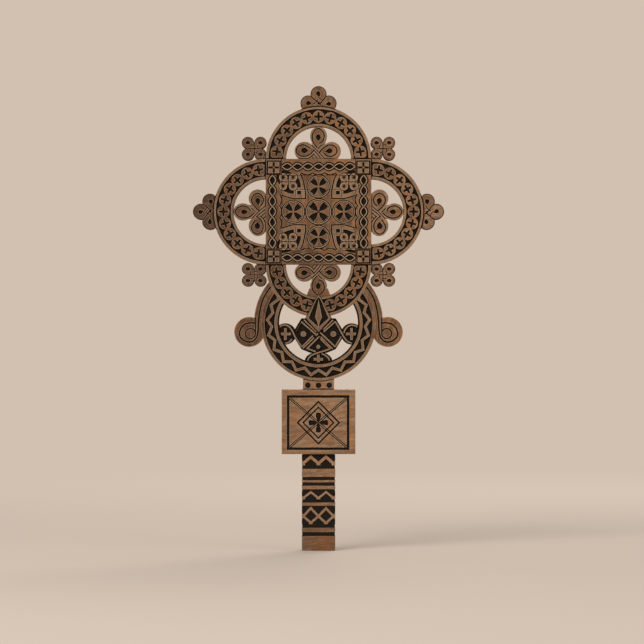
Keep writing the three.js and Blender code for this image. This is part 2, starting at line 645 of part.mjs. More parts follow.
function ringGroup() {
  const group = new THREE.Group();
  group.position.z = RING_CENTRE_Z;
  group.add(pieceMesh("lower_ring", lowerRing()));
  group.add(pieceMesh("scroll_arm_left", scrollArm(-1)));
  group.add(pieceMesh("scroll_arm_right", scrollArm(1)));
  group.add(pieceMesh("woven_lozenges", wovenLozenges()));
  group.add(pieceMesh("spearhead", spearhead()));
  return group;
}

function stem() {
  const group = new THREE.Group();
  group.add(pieceMesh("handle", handle()));
  group.add(pieceMesh("tablet", tablet()));
  group.add(pieceMesh("neck_block", neckBlock()));
  group.add(pieceMesh("tablet_peg_lower", tabletPeg(HANDLE_PEG_Z), darkWoodColour));
  group.add(pieceMesh("tablet_peg_upper", tabletPeg(UPPER_PEG_Z), darkWoodColour));
  const pegReach = NECK_THICKNESS / 2 + PEG_PROUD;
  const pegNames = ["neck_peg_left", "neck_peg_centre", "neck_peg_right"];
  NECK_PEG_PLACES.forEach((x, index) => {
    const solid = peg(x, NECK_PEG_Z, NECK_PEG_RADIUS, -pegReach, pegReach);
    group.add(pieceMesh(pegNames[index], solid, blackenedColour, BLACKENED_ROUGHNESS));
  });
  return group;
}

const handCross = new THREE.Group();
handCross.add(head(), ringGroup(), stem());

export default handCross;
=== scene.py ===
"""Dresses the wooden hand cross: relief carved into both faces, worn brown wood and blackened recesses.

Drawings are in millimetres, as (x, z) points seen from the front. Meshes are in metres.
"""

import logging
import math
from collections.abc import Iterable, Sequence
from dataclasses import dataclass, field
from enum import Enum

import bpy
import numpy as np
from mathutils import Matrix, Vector
from mathutils.geometry import delaunay_2d_cdt


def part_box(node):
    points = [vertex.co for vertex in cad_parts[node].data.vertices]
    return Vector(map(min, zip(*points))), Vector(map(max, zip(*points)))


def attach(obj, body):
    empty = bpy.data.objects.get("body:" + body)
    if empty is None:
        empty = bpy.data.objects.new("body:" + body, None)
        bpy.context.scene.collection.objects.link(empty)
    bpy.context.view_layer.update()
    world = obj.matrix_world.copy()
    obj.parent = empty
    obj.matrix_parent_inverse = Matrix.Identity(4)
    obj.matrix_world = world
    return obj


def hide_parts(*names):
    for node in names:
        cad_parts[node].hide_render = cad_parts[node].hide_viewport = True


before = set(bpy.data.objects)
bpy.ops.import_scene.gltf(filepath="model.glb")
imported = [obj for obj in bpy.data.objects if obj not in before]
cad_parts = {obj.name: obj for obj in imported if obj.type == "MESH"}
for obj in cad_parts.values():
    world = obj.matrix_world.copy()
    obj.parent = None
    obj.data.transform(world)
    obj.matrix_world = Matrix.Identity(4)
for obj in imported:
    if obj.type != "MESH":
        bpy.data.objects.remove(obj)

Point = tuple[float, float]
Path = list[Point]
Colour = tuple[float, float, float]
Waves = tuple[float, float, float]  # how many waves a pattern has in a millimetre, along three axes

log = logging.getLogger("hand_cross")

MM = 0.001
BODY = "root"
SAME_POINT = 0.001  # mm, two points closer than this are one

# Carving
DEEP = 1.3  # depth of a ground
LINE_DEPTH = 0.8
LINE = 1.0  # width of a carved line
SLOPE = 0.2  # how far a carved wall leans
STEP = 0.85  # length of one step along a curve
BLUNTEST = 0.2  # keeps a line's sharp corners from moving far out when the line is moved sideways
SWELL = 0.12  # each piece is this much fuller than its solid, so that joints are closed but for a hair
SIDE_TONE = 0.14  # the uncarved sides are a little darker than the faces
WALL_TONE = 0.5  # the walls of every cut are singed brown
DARK_TONE = 0.3  # an area darker than this keeps its tone at the piece's edge
FLOOR_SHARE = 0.72  # part of a carved line's width that reaches its full depth
LONG_SIDE = 2.5  # a carved outline's longest straight stretch
SETTLING_ROUNDS = 12  # how often the points on a wall are set between their neighbours

# Reading the solids, and making meshes
SAME_PLANE = 0.01
WELD = 0.002  # points of a finished mesh closer than this become one
SHARP_DEGREES = 24
WALL_LEAN = 0.3  # largest part of a wall's normal that points to the front or the back
NO_WALL = 0.5  # a triangle without area has no normal, so its length stays below this
SAME_WAY = 0.05  # walls that look almost the same way move together
MAX_SWELL = 2.5 * SWELL  # how far a sharp corner may move
PLANK_STEP = (37.0, 11.0, 5.0)  # from one piece's part of the plank to the next
DULL_SHINE = 0.2  # how strongly old wood reflects

# Places that the carvings share with the solids
TABLET_TOP = 120.7
RING_CENTRE_Z = 170.6
HEAD_CENTRE_Z = 254.3
SQUARE_HALF = 39.5
RAIL_INSIDE = 27.7
BLOCK_MIDDLE = 33.6
ARCH_MIDDLE = (0.0, SQUARE_HALF)

SIDES = ("top", "right", "bottom", "left")
CROSS = ((1, 0), (0, 1), (-1, 0), (0, -1))  # the four ways out of a middle
MIRRORED_TURNS = ((0, False), (0, True), (2, False), (2, True))  # takes one corner to all four


class Tone(Enum):
    """How dark an area is: 1 is blackened, 0.5 singed brown, 0 plain and -1 the lightest worn wood."""

    BLACK = 1.0
    LINE = 0.8
    SMOKED = 0.5
    PLAIN = 0.0
    SPARED = -0.05  # plain wood that stays plain at the piece's edge
    WORN = -0.45
    BRIGHT = -1.0


class Face(Enum):
    """A flat face that is carved, named by the side that it looks to."""

    FRONT = "front"
    BACK = "back"
    LEFT = "left"
    RIGHT = "right"

    @property
    def axis(self) -> int:
        """Gives the axis that the face looks along: 0 for x, 1 for y."""
        return 1 if self in (Face.FRONT, Face.BACK) else 0

    @property
    def inwards(self) -> float:
        """Gives the sign of the direction that leads into the wood."""
        return 1.0 if self in (Face.FRONT, Face.LEFT) else -1.0

    @property
    def backwards(self) -> bool:
        """Tells whether the face's drawing is seen mirrored from outside."""
        return self in (Face.BACK, Face.LEFT)


# Drawing


def arc(centre: Point, radius: float, start: float, end: float, radius_z: float = 0.0) -> Path:
    """Draws points along an arc.

    Args:
        centre: Middle of the arc.
        radius: Radius, or the half width of an ellipse.
        start: First angle in degrees, counted from +x towards +z.
        end: Last angle in degrees.
        radius_z: Half height of an ellipse, or 0 for a circle.

    Returns:
        The points from the first angle to the last.
    """
    tall = radius_z or radius
    steps = max(6, math.ceil(abs(math.radians(end - start)) * max(radius, tall) / STEP))
    angles = [math.radians(start + (end - start) * i / steps) for i in range(steps + 1)]
    return [(centre[0] + radius * math.cos(a), centre[1] + tall * math.sin(a)) for a in angles]


def circle(centre: Point, radius: float, radius_z: float = 0.0) -> Path:
    """Draws a closed circle or ellipse."""
    return arc(centre, radius, 0, 360, radius_z)[:-1]


def rectangle(left: float, low: float, right: float, high: float) -> Path:
    """Draws an upright rectangle."""
    return [(left, low), (right, low), (right, high), (left, high)]


def square(centre: Point, half: float) -> Path:
    """Draws an upright square."""
    return rectangle(centre[0] - half, centre[1] - half, centre[0] + half, centre[1] + half)


def curve(points: Sequence[Point], closed: bool = False) -> Path:
    """Draws a smooth curve through a few points.

    Args:
        points: Points that the curve passes through.
        closed: Whether the curve returns to its first point.

    Returns:
        Closely spaced points along the curve.
    """
    count = len(points)
    spans = count if closed else count - 1
    drawn: Path = []
    for i in range(spans):
        before = points[(i - 1) % count] if closed or i > 0 else points[0]
        here = points[i]
        there = points[(i + 1) % count]
        after = points[(i + 2) % count] if closed or i + 2 < count else points[-1]
        steps = max(2, math.ceil(math.dist(here, there) / STEP))
        for k in range(steps):
            t = k / steps
            drawn.append(tuple(
                0.5 * (2 * b + (c - a) * t + (2 * a - 5 * b + 4 * c - d) * t * t + (3 * b - a - 3 * c + d) * t ** 3)
                for a, b, c, d in zip(before, here, there, after)
            ))
    if not closed:
        drawn.append(tuple(points[-1]))
    return drawn


def signed_area(outline: Sequence[Point]) -> float:
    """Gives an outline's area, positive where it runs counter-clockwise."""
    pairs = zip(outline, list(outline[1:]) + [outline[0]])
    return sum(a[0] * b[1] - b[0] * a[1] for a, b in pairs) / 2


def shifted(points: Sequence[Point], distance: float, closed: bool) -> Path:
    """Moves a line sideways, to its left.

    Args:
        points: The line.
        distance: How far to the left, or to the right where negative.
        closed: Whether the line returns to its first point.

    Returns:
        The moved line, with as many points.
    """
    count = len(points)
    moved: Path = []
    for i, (x, z) in enumerate(points):
        before = points[(i - 1) % count] if closed or i > 0 else None
        after = points[(i + 1) % count] if closed or i + 1 < count else None
        normals = []
        for a, b in ((before, (x, z)), ((x, z), after)):
            if a is None or b is None:
                continue
            length = math.dist(a, b)
            if length > 1e-6:
                normals.append(((a[1] - b[1]) / length, (b[0] - a[0]) / length))
        if not normals:
            moved.append((x, z))
            continue
        nx = sum(n[0] for n in normals) / len(normals)
        nz = sum(n[1] for n in normals) / len(normals)
        scale = distance / max(nx * nx + nz * nz, BLUNTEST)
        moved.append((x + nx * scale, z + nz * scale))
    return moved


def grown(outline: Sequence[Point], distance: float) -> Path:
    """Grows a closed outline, or shrinks it where the distance is negative."""
    return shifted(outline, -distance if signed_area(outline) > 0 else distance, True)


def band(path: Sequence[Point], half: float, closed: bool) -> list[Path]:
    """Draws a band along a line, as one four-sided outline for each step.

    Args:
        path: Middle line.
        half: Half of the band's width.
        closed: Whether the line returns to its first point.

    Returns:
        The outlines.
    """
    left = shifted(path, half, closed)
    right = shifted(path, -half, closed)
    count = len(path) if closed else len(path) - 1
    following = [(i + 1) % len(path) for i in range(count)]
    return [[left[i], right[i], right[j], left[j]] for i, j in zip(range(count), following)]


def fine(path: Sequence[Point], closed: bool, step: float = LONG_SIDE) -> Path:
    """Adds points along the long stretches of a line.

    Args:
        path: The line.
        closed: Whether the line returns to its first point.
        step: Longest stretch that stays as it is.

    Returns:
        The same line with more points.
    """
    drawn: Path = []
    ends = list(path[1:]) + ([path[0]] if closed else [])
    for a, b in zip(path, ends):
        pieces = max(1, math.ceil(math.dist(a, b) / step))
        drawn.extend((a[0] + (b[0] - a[0]) * k / pieces, a[1] + (b[1] - a[1]) * k / pieces) for k in range(pieces))
    return drawn if closed else drawn + [path[-1]]


def unsteady(point: Point, amount: float) -> Point:
    """Moves a point a little, as a knife held by hand would.

    Args:
        point: The point.
        amount: About how far, in millimetres.

    Returns:
        The moved point.
    """
    x, z = point
    dx = 0.6 * math.sin(0.53 * x + 0.31 * z + 1.3) + 0.4 * math.sin(1.27 * z - 0.91 * x + 0.4)
    dz = 0.6 * math.sin(0.47 * z - 0.36 * x + 2.1) + 0.4 * math.sin(1.13 * x + 0.83 * z + 5.2)
    return (x + amount * dx, z + amount * dz)


def within(places: np.ndarray, outlines: Iterable[Path]) -> np.ndarray:
    """Tells which places lie inside an odd number of outlines.

    Args:
        places: One place a row, sorted by x.
        outlines: Closed outlines.

    Returns:
        True for each place that is inside.
    """
    inside = np.zeros(len(places), bool)
    for outline in outlines:
        corners = np.array(outline)
        low, high = corners.min(axis=0), corners.max(axis=0)
        first, last = np.searchsorted(places[:, 0], (low[0], high[0]))
        if first == last:
            continue
        z = places[first:last, 1]
        near = first + np.flatnonzero((z >= low[1]) & (z <= high[1]))
        x, z = places[near, :1], places[near, 1:]
        (ax, az), (bx, bz) = corners.T, corners[np.arange(1, len(corners) + 1) % len(corners)].T
        spans = (az > z) != (bz > z)
        rise = np.where(bz == az, 1.0, bz - az)
        inside[near] ^= (spans & (x < ax + (z - az) * (bx - ax) / rise)).sum(axis=1) % 2 == 1
    return inside


def covered(places: np.ndarray, outlines: Iterable[Path]) -> np.ndarray:
    """Tells which places lie inside any of the outlines.

    Args:
        places: One place a row, sorted by x.
        outlines: Closed outlines.

    Returns:
        True for each place that is covered.
    """
    inside = np.zeros(len(places), bool)
    for outline in outlines:
        inside |= within(places, [outline])
    return inside


@dataclass(frozen=True)
class Spot:
    """Where a drawing's own origin stands in the cross, and how many quarter turns it makes clockwise."""

    x: float = 0.0
    z: float = 0.0
    turn: int = 0
    mirror: bool = False
    unsteadiness: float = 0.07

    def place(self, points: Iterable[Point]) -> Path:
        """Moves points from the drawing's own place to the cross's.

        Args:
            points: The points.

        Returns:
            The moved points, as unsteady as a hand leaves them.
        """
        placed: Path = []
        for x, z in points:
            x = -x if self.mirror else x
            for _ in range(self.turn % 4):
                x, z = z, -x
            placed.append(unsteady((x + self.x, z + self.z), self.unsteadiness))
        return placed


RING = Spot(0.0, RING_CENTRE_Z)


def on_head(turn: int = 0, mirror: bool = False) -> Spot:
    """Gives the head's centre as a drawing's origin."""
    return Spot(0.0, HEAD_CENTRE_Z, turn, mirror)


@dataclass
class Area:
    """One carved area: its rim, the smaller outlines that reach its own level, and how it is coloured."""

    rim: list[Path]
    floor: list[Path]
    level: float
    tone: float


@dataclass
class Carving:
    """A list of carved areas. Each one is cut into, or stands on, those before it."""

    spot: Spot = Spot()
    areas: list[Area] = field(default_factory=list)

    def _add(self, rim: list[Path], floor: list[Path], level: float, tone: Tone) -> None:
        """Adds an area whose outlines are in the drawing's own place."""
        placed = [[self.spot.place(outline) for outline in outlines] for outlines in (rim, floor)]
        self.areas.append(Area(*placed, level, tone.value))

    def sink(self, outline: Path, depth: float = DEEP, tone: Tone = Tone.BLACK, slope: float = SLOPE) -> None:
        """Cuts a ground below the face."""
        outline = fine(outline, True)
        self._add([outline], [grown(outline, -slope)], -depth, tone)

    def rise(self, outline: Path, tone: Tone = Tone.WORN, level: float = 0.0, slope: float = SLOPE) -> None:
        """Leaves an outline standing in a ground."""
        outline = fine(outline, True)
        self._add([grown(outline, slope)], [outline], level, tone)

    def groove(self, path: Path, width: float = LINE, closed: bool = False, depth: float = LINE_DEPTH,
               tone: Tone = Tone.BLACK) -> None:
        """Cuts a line of even width.

        Args:
            path: Middle of the line.
            width: Width at the face.
            closed: Whether the line returns to its first point.
            depth: How deep it is.
            tone: How dark it is.
        """
        half = width / 2
        path = fine(path, closed)
        self._add(band(path, half, closed), band(path, half * FLOOR_SHARE, closed), -depth, tone)

    def strand(self, path: Path, width: float, closed: bool = False, tone: Tone = Tone.WORN) -> None:
        """Leaves a strand of even width standing in a ground.

        Args:
            path: Middle of the strand.
            width: Width on top.
            closed: Whether the strand returns to its first point.
            tone: How light it is.
        """
        half = width / 2
        path = fine(path, closed)
        self._add(band(path, half + SLOPE, closed), band(path, half, closed), 0.0, tone)

    def extend(self, other: "Carving") -> "Carving":
        """Adds another drawing's areas after these."""
        self.areas.extend(other.areas)
        return self


@dataclass(frozen=True)
class Edge:
    """How far in from its outline a face is softened, how much it drops there, and its tone."""

    width: float
    drop: float
    tone: Tone = Tone.SMOKED


@dataclass
class Surface:
    """A carved face: its points in the face's plane, their depths, and its triangles with their tones."""

    points: np.ndarray
    levels: np.ndarray
    edge: np.ndarray
    triangles: np.ndarray
    tones: np.ndarray


@dataclass
class FaceCarver:
    """Cuts areas into one flat face of a piece."""

    loops: list[Path]
    areas: list[Area]
    edge: Edge
    wraps: bool

    def carve(self) -> Surface:
        """Cuts the face into triangles along every carved outline and gives each point its depth.

        Returns:
            The carved face.
        """
        self._points: list[Point] = []
        self._index: dict[tuple[int, int], int] = {}
        self._sides: set[tuple[int, int]] = set()
        insets = [shifted(loop, self.edge.width, True) for loop in self.loops]
        for loop in self.loops + insets:
            self._trace(loop)
        low = np.min([np.min(loop, axis=0) for loop in self.loops], axis=0)
        high = np.max([np.max(loop, axis=0) for loop in self.loops], axis=0)
        near: list[tuple[int, bool, Path]] = []
        for number, area in enumerate(self.areas):
            for is_floor, outlines in ((False, area.rim), (True, area.floor)):
                for outline in outlines:
                    if np.all(np.max(outline, axis=0) > low) and np.all(np.min(outline, axis=0) < high):
                        near.append((number, is_floor, outline))
                        self._trace(outline)
        plan = delaunay_2d_cdt([Vector(p) for p in self._points], sorted(self._sides), [], 0, 1e-4, False)
        points = np.array([tuple(v) for v in plan[0]])
        corners = np.array([face for face in plan[2] if len(face) == 3])
        middles = points[corners].mean(axis=1)
        order = np.argsort(middles[:, 0])
        corners, middles = corners[order], middles[order]
        wood = within(middles, self.loops)
        corners, middles = corners[wood], middles[wood]
        return self._measure(points, corners, middles, within(middles, insets), near)

    def _trace(self, outline: Path) -> None:
        """Adds an outline's points and sides to the plan."""
        ids = [self._id(point) for point in outline]
        self._sides.update((min(a, b), max(a, b)) for a, b in zip(ids, ids[1:] + ids[:1]) if a != b)

    def _id(self, point: Point) -> int:
        """Gives a point's number.

        Args:
            point: The point.

        Returns:
            The number, the same for points that fall together.
        """
        key = (round(point[0] / SAME_POINT), round(point[1] / SAME_POINT))
        if key not in self._index:
            self._index[key] = len(self._points)
            self._points.append((float(point[0]), float(point[1])))
        return self._index[key]

    def _measure(self, points: np.ndarray, corners: np.ndarray, middles: np.ndarray, inside: np.ndarray,
                 near: list[tuple[int, bool, Path]]) -> Surface:
        """Gives every triangle its tone and every point its depth.

        Args:
            points: The plan's points.
            corners: The points of each triangle.
            middles: The middle of each triangle.
            inside: Whether each triangle lies inside the softened edge.
            near: The areas' outlines: the area's number, whether it is a floor, and its points.

        Returns:
            The carved face.
        """
        level, tone = np.zeros(len(corners)), np.zeros(len(corners))
        flat = np.ones(len(corners), bool)
        for number in sorted({entry[0] for entry in near}):
            area = self.areas[number]
            rim = covered(middles, [outline for n, is_floor, outline in near if n == number and not is_floor])
            floor = covered(middles, [outline for n, is_floor, outline in near if n == number and is_floor])
            rim &= ~floor
            tone[rim & (area.level < level)] = WALL_TONE
            flat[rim], flat[floor] = False, True
            level[floor], tone[floor] = area.level, area.tone
        tone[~inside & (tone <= DARK_TONE) & (tone != Tone.SPARED.value)] = self.edge.tone.value
        firm, outer = np.full(len(points), -np.inf), np.full(len(points), -np.inf)
        for known, chosen in ((firm, inside & flat), (outer, ~inside & flat)):
            np.maximum.at(known, corners[chosen].ravel(), np.repeat(level[chosen], 3))
        edge = self._edge_points(corners, len(points))
        rims = np.full(len(points), -self.edge.drop)
        if self.wraps:
            rims = np.where(np.isfinite(outer), np.minimum(outer, rims), rims)
        levels = self._settle(firm, edge, rims, corners)
        return Surface(points, levels, edge, corners, tone)

    def _edge_points(self, corners: np.ndarray, count: int) -> np.ndarray:
        """Tells which points lie on the face's own outline.

        Args:
            corners: The points of each triangle.
            count: How many points there are.

        Returns:
            True for each point on the outline.
        """
        sides = {(int(t[i]), int(t[(i + 1) % 3])) for t in corners for i in range(3)}
        edge = np.zeros(count, bool)
        for a, b in sides:
            if (b, a) not in sides:
                edge[a] = edge[b] = True
        return edge

    def _settle(self, firm: np.ndarray, edge: np.ndarray, rims: np.ndarray, corners: np.ndarray) -> np.ndarray:
        """Gives points on carved walls a depth between those around them.

        Args:
            firm: Depth of each point on a flat area, or minus infinity.
            edge: Whether each point is on the face's outline.
            rims: Depth that each point has if it is on the face's outline.
            corners: The points of each triangle.

        Returns:
            The depth of every point.
        """
        levels = np.where(np.isfinite(firm), firm, 0.0)
        levels[edge] = rims[edge]
        loose = ~np.isfinite(firm) & ~edge
        if not loose.any():
            return levels
        pairs = np.concatenate([corners[:, [0, 1]], corners[:, [1, 2]], corners[:, [2, 0]]])
        pairs = np.concatenate([pairs, pairs[:, ::-1]])
        pairs = pairs[loose[pairs[:, 0]]]
        for _ in range(SETTLING_ROUNDS):
            total = np.bincount(pairs[:, 0], levels[pairs[:, 1]], len(levels))
            count = np.bincount(pairs[:, 0], minlength=len(levels))
            levels[loose] = (total / np.maximum(count, 1))[loose]
        return levels


@dataclass(frozen=True)
class Grain:
    """How a piece's wood grain runs: its direction in the plan, in degrees from +x, and the part of the plank."""

    angle: float = 90.0
    shift: float = 0.0

    def coordinates(self, points: np.ndarray) -> np.ndarray:
        """Gives each point's place in the plank.

        Args:
            points: The points, in millimetres.

        Returns:
            Millimetres along the grain, across it and through it.
        """
        turn = math.radians(self.angle)
        x, y, z = points.T
        along = x * math.cos(turn) + z * math.sin(turn)
        across = z * math.cos(turn) - x * math.sin(turn)
        return np.stack([p + step * self.shift for p, step in zip((along, across, y), PLANK_STEP)], axis=1)


class Slot(Enum):
    """The record's material slots."""

    CARVED = "carved_wood"
    WEATHERED = "weathered_wood"
    HANDLE = "handle_wood"
    BLACKENED = "blackened_wood"


@dataclass(frozen=True)
class Dressing:
    """A finish and the record's slot that it fills."""

    material: bpy.types.Material
    slot: Slot


def linked(name: str, data: bpy.types.ID) -> bpy.types.Object:
    """Makes an object and adds it to the scene.

    Args:
        name: The object's name.
        data: Its mesh, lamp or camera.

    Returns:
        The new object.
    """
    made = bpy.data.objects.new(name, data)
    bpy.context.scene.collection.objects.link(made)
    return made


class PieceMesh:
    """Gathers points and faces of one piece and makes its object."""

    def __init__(self) -> None:
        """Starts an empty piece."""
        self.points: list[tuple[float, float, float]] = []
        self.faces: list[tuple[int, ...]] = []
        self.tones: list[float] = []

    def add(self, points: Iterable[Sequence[float]], faces: Iterable[Sequence[int]], tones: Iterable[float]) -> None:
        """Adds a part of the piece.

        Args:
            points: Points in millimetres.
            faces: The points of each face, counted from this part's first.
            tones: The tone of each face.
        """
        base = len(self.points)
        self.points.extend(tuple(float(c) for c in p) for p in points)
        for face_ids, tone in zip(faces, tones):
            self.faces.append(tuple(base + i for i in face_ids))
            self.tones.append(tone)

    def make(self, name: str, node: str, grain: Grain, dressing: Dressing) -> None:
        """Makes the object and puts it in a solid's place.

        Args:
            name: The object's name.
            node: The solid that it stands for.
            grain: How the wood's grain runs.
            dressing: Finish of the whole piece; its slot is not used.
        """
        mesh = bpy.data.meshes.new(name)
        co = np.array(self.points)
        _, first, inverse = np.unique(np.round(co / WELD).astype(np.int64), axis=0, return_index=True,
                                      return_inverse=True)
        inverse = inverse.reshape(-1)
        faces: dict[tuple[int, ...], tuple[list[int], float]] = {}
        for ids, tone in zip(self.faces, self.tones):
            merged = list(dict.fromkeys(inverse[list(ids)].tolist()))
            if len(merged) > 2:
                faces.setdefault(tuple(sorted(merged)), (merged, tone))
        co = co[first]
        mesh.from_pydata((co * MM).tolist(), [], [ids for ids, _ in faces.values()])
        mesh.attributes.new("tone", "FLOAT", "FACE").data.foreach_set("value", [tone for _, tone in faces.values()])
        mesh.validate()
        places = mesh.attributes.new("plank", "FLOAT_VECTOR", "POINT")
        places.data.foreach_set("vector", grain.coordinates(co).astype(np.float32).ravel())
        mesh.shade_smooth()
        mesh.set_sharp_from_angle(angle=math.radians(SHARP_DEGREES))
        mesh.materials.append(dressing.material)
        piece = linked(name, mesh)
        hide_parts(node)
        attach(piece, BODY)
        log.info("%s: %d faces", piece.name, len(mesh.polygons))


@dataclass
class SolidFaces:
    """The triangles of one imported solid, in millimetres, sorted into carved faces and the rest."""

    node: str

    def __post_init__(self) -> None:
        """Reads the solid's mesh."""
        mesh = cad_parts[self.node].data
        mesh.calc_loop_triangles()
        raw = np.array([v.co for v in mesh.vertices]) / MM
        keys = np.round(raw / SAME_POINT).astype(np.int64)
        _, first, inverse = np.unique(keys, axis=0, return_index=True, return_inverse=True)
        self.points = raw[first]
        inverse = inverse.reshape(-1)
        corners = np.array([t.vertices for t in mesh.loop_triangles])
        self.triangles = inverse[corners]
        self._swell()
        self.low = self.points.min(axis=0)
        self.high = self.points.max(axis=0)

    def _swell(self) -> None:
        """Moves the walls outwards a little, in the plane of the cross. The foot stays on the floor."""
        a, b, c = (self.points[self.triangles[:, k]] for k in range(3))
        normals = np.cross(b - a, c - a)
        normals /= np.maximum(np.linalg.norm(normals, axis=1, keepdims=True), 1e-9)
        walls: dict[int, set[tuple[float, float]]] = {}
        for ids, (x, y, z) in zip(self.triangles.tolist(), normals.tolist()):
            if abs(y) < WALL_LEAN and x * x + z * z > NO_WALL:
                for i in ids:
                    walls.setdefault(i, set()).add((round(x, 2), round(z, 2)))
        for i, directions in walls.items():
            ways = np.array(sorted(directions))
            move = np.linalg.lstsq(ways, np.full(len(ways), SWELL), rcond=SAME_WAY)[0]
            move *= min(1.0, MAX_SWELL / max(float(np.linalg.norm(move)), 1e-9))
            self.points[i, 0] += move[0]
            if self.points[i, 2] > SAME_PLANE:
                self.points[i, 2] += move[1]

    def plane(self, face: Face) -> float:
        """Gives a face's place along the axis that it looks along."""
        return float((self.low if face.inwards > 0 else self.high)[face.axis])

    def near(self, face: Face) -> np.ndarray:
        """Tells which points lie in a face's plane."""
        return np.abs(self.points[:, face.axis] - self.plane(face)) < SAME_PLANE

    def on_face(self, face: Face) -> np.ndarray:
        """Tells which triangles lie on a face."""
        return self.near(face)[self.triangles].all(axis=1)

    def outlines(self, face: Face) -> list[Path]:
        """Gives the outlines of a face.

        Args:
            face: Which face it is.

        Returns:
            The outlines, with the wood on their left as seen in the drawing.
        """
        chosen = self.triangles[self.on_face(face)]
        sides = {(int(t[i]), int(t[(i + 1) % 3])) for t in chosen for i in range(3)}
        following = {a: b for a, b in sides if (b, a) not in sides}
        across = [0, 2] if face.axis == 1 else [1, 2]
        loops: list[Path] = []
        while following:
            start, here = following.popitem()
            ids = [start]
            while here != start and here in following:
                ids.append(here)
                here = following.pop(here)
            loop = [tuple(self.points[i][across]) for i in ids]
            loops.append(loop[::-1] if face.backwards else loop)
        return loops


@dataclass
class CarvedPiece:
    """A piece that takes the place of one solid: the same outline, with carved faces and softened edges.

    The carving is one drawing for front and back, or one for each side of a bar.
    """

    node: str
    carving: Carving | dict[Face, Carving]
    grain: Grain
    edge: Edge

    def build(self, dressing: Dressing) -> None:
        """Makes the piece and puts it in the solid's place.

        Args:
            dressing: Finish of the piece; its slot is not used.
        """
        solid = SolidFaces(self.node)
        mesh = PieceMesh()
        taken = np.zeros(len(solid.triangles), bool)
        moved = solid.points.copy()
        wraps = isinstance(self.carving, dict)
        drawings = self.carving if wraps else {Face.FRONT: self.carving, Face.BACK: self.carving}
        carved: dict[frozenset[Point], Surface] = {}
        for face, drawing in drawings.items():
            loops = solid.outlines(face)
            key = frozenset((round(x, 2), round(z, 2)) for loop in loops for x, z in loop)
            if key not in carved:
                carved[key] = FaceCarver(loops, drawing.areas, self.edge, wraps).carve()
            taken |= solid.on_face(face)
            self._add_surface(mesh, carved[key], face, solid)
            moved[solid.near(face), face.axis] += face.inwards * self.edge.drop
        rest = solid.triangles[~taken]
        mesh.add(moved, rest.tolist(), [SIDE_TONE] * len(rest))
        mesh.make("carved_" + self.node, self.node, self.grain, dressing)

    def _add_surface(self, mesh: PieceMesh, surface: Surface, face: Face, solid: SolidFaces) -> None:
        """Adds a carved face to the piece.

        Args:
            mesh: The piece's mesh.
            surface: The carved face.
            face: Which face it is.
            solid: The solid that it belongs to.
        """
        along = 0 if face.axis == 1 else 1
        points = np.zeros((len(surface.points), 3))
        points[:, along] = surface.points[:, 0]
        points[:, 2] = surface.points[:, 1]
        points[:, face.axis] = solid.plane(face) - face.inwards * surface.levels
        if isinstance(self.carving, dict):
            drop = np.where(surface.edge, -surface.levels, 0.0)
            points[:, along] = np.clip(points[:, along], solid.low[along] + drop, solid.high[along] - drop)
        triangles = surface.triangles[:, ::-1] if face.backwards else surface.triangles
        mesh.add(points, triangles.tolist(), surface.tones.tolist())


# Ornament


@dataclass
class ArchOrnament(Carving):
    """Crosses in circles on a blackened band, between two plain strips. Drawn as the top arch."""

    inner_line: float = 26.3
    outer_line: float = 37.5
    boss_line: float = 31.8
    boss_radius: float = 4.5
    cross_half: float = 3.4
    cross_width: float = 1.05
    first_angle: float = 10.0
    pitch: float = 16.0
    bosses: int = 11
    crowned: bool = True  # a finial stands on it, with a line at its foot

    def __post_init__(self) -> None:
        """Adds the band's ground, its bosses and their crosses."""
        self.rise(rectangle(-42, 36, 42, 84))
        self.rise(circle(ARCH_MIDDLE, self.inner_line - 1.3), Tone.PLAIN)
        ground = arc(ARCH_MIDDLE, self.outer_line, -4, 184) + arc(ARCH_MIDDLE, self.inner_line, 184, -4)
        self.sink(ground)
        for number in range(self.bosses):
            angle = math.radians(self.first_angle + self.pitch * number)
            outwards = (math.cos(angle), math.sin(angle))
            centre = (self.boss_line * outwards[0], SQUARE_HALF + self.boss_line * outwards[1])
            self.rise(circle(centre, self.boss_radius), Tone.PLAIN)
            if number in (0, self.bosses - 1):
                self.rise(self._square_end(centre), Tone.PLAIN)
            for direction in (outwards, (-outwards[1], outwards[0])):
                aside = (-direction[1], direction[0])
                bar = [(-1.0, 0.65), (0.0, 1.0), (1.0, 0.65)]
                bar += [(along, -wide) for along, wide in reversed(bar)]
                self.sink([
                    tuple(c + self.cross_half * along * d + self.cross_width * wide * a
                          for c, d, a in zip(centre, direction, aside))
                    for along, wide in bar
                ], depth=1.0, slope=0.12)
        self.groove([(-SQUARE_HALF, SQUARE_HALF + 0.2), (SQUARE_HALF, SQUARE_HALF + 0.2)])
        if self.crowned:
            self.groove(arc(ARCH_MIDDLE, 39.3, 70.5, 109.5), 0.8, tone=Tone.LINE)

    def _square_end(self, centre: Point) -> Path:
        """Draws the side of a boss that is cut straight along the block below it.

        Args:
            centre: Middle of the boss.

        Returns:
            The outline of the boss's lower half.
        """
        x, z, r = *centre, self.boss_radius
        foot = SQUARE_HALF + 1.1
        left = [(x - r, z), (x - r, foot + 1.2), (x - r + 1.0, foot)]
        return left + [(x + r - 1.0, foot), (x + r, foot + 1.2), (x + r, z)]


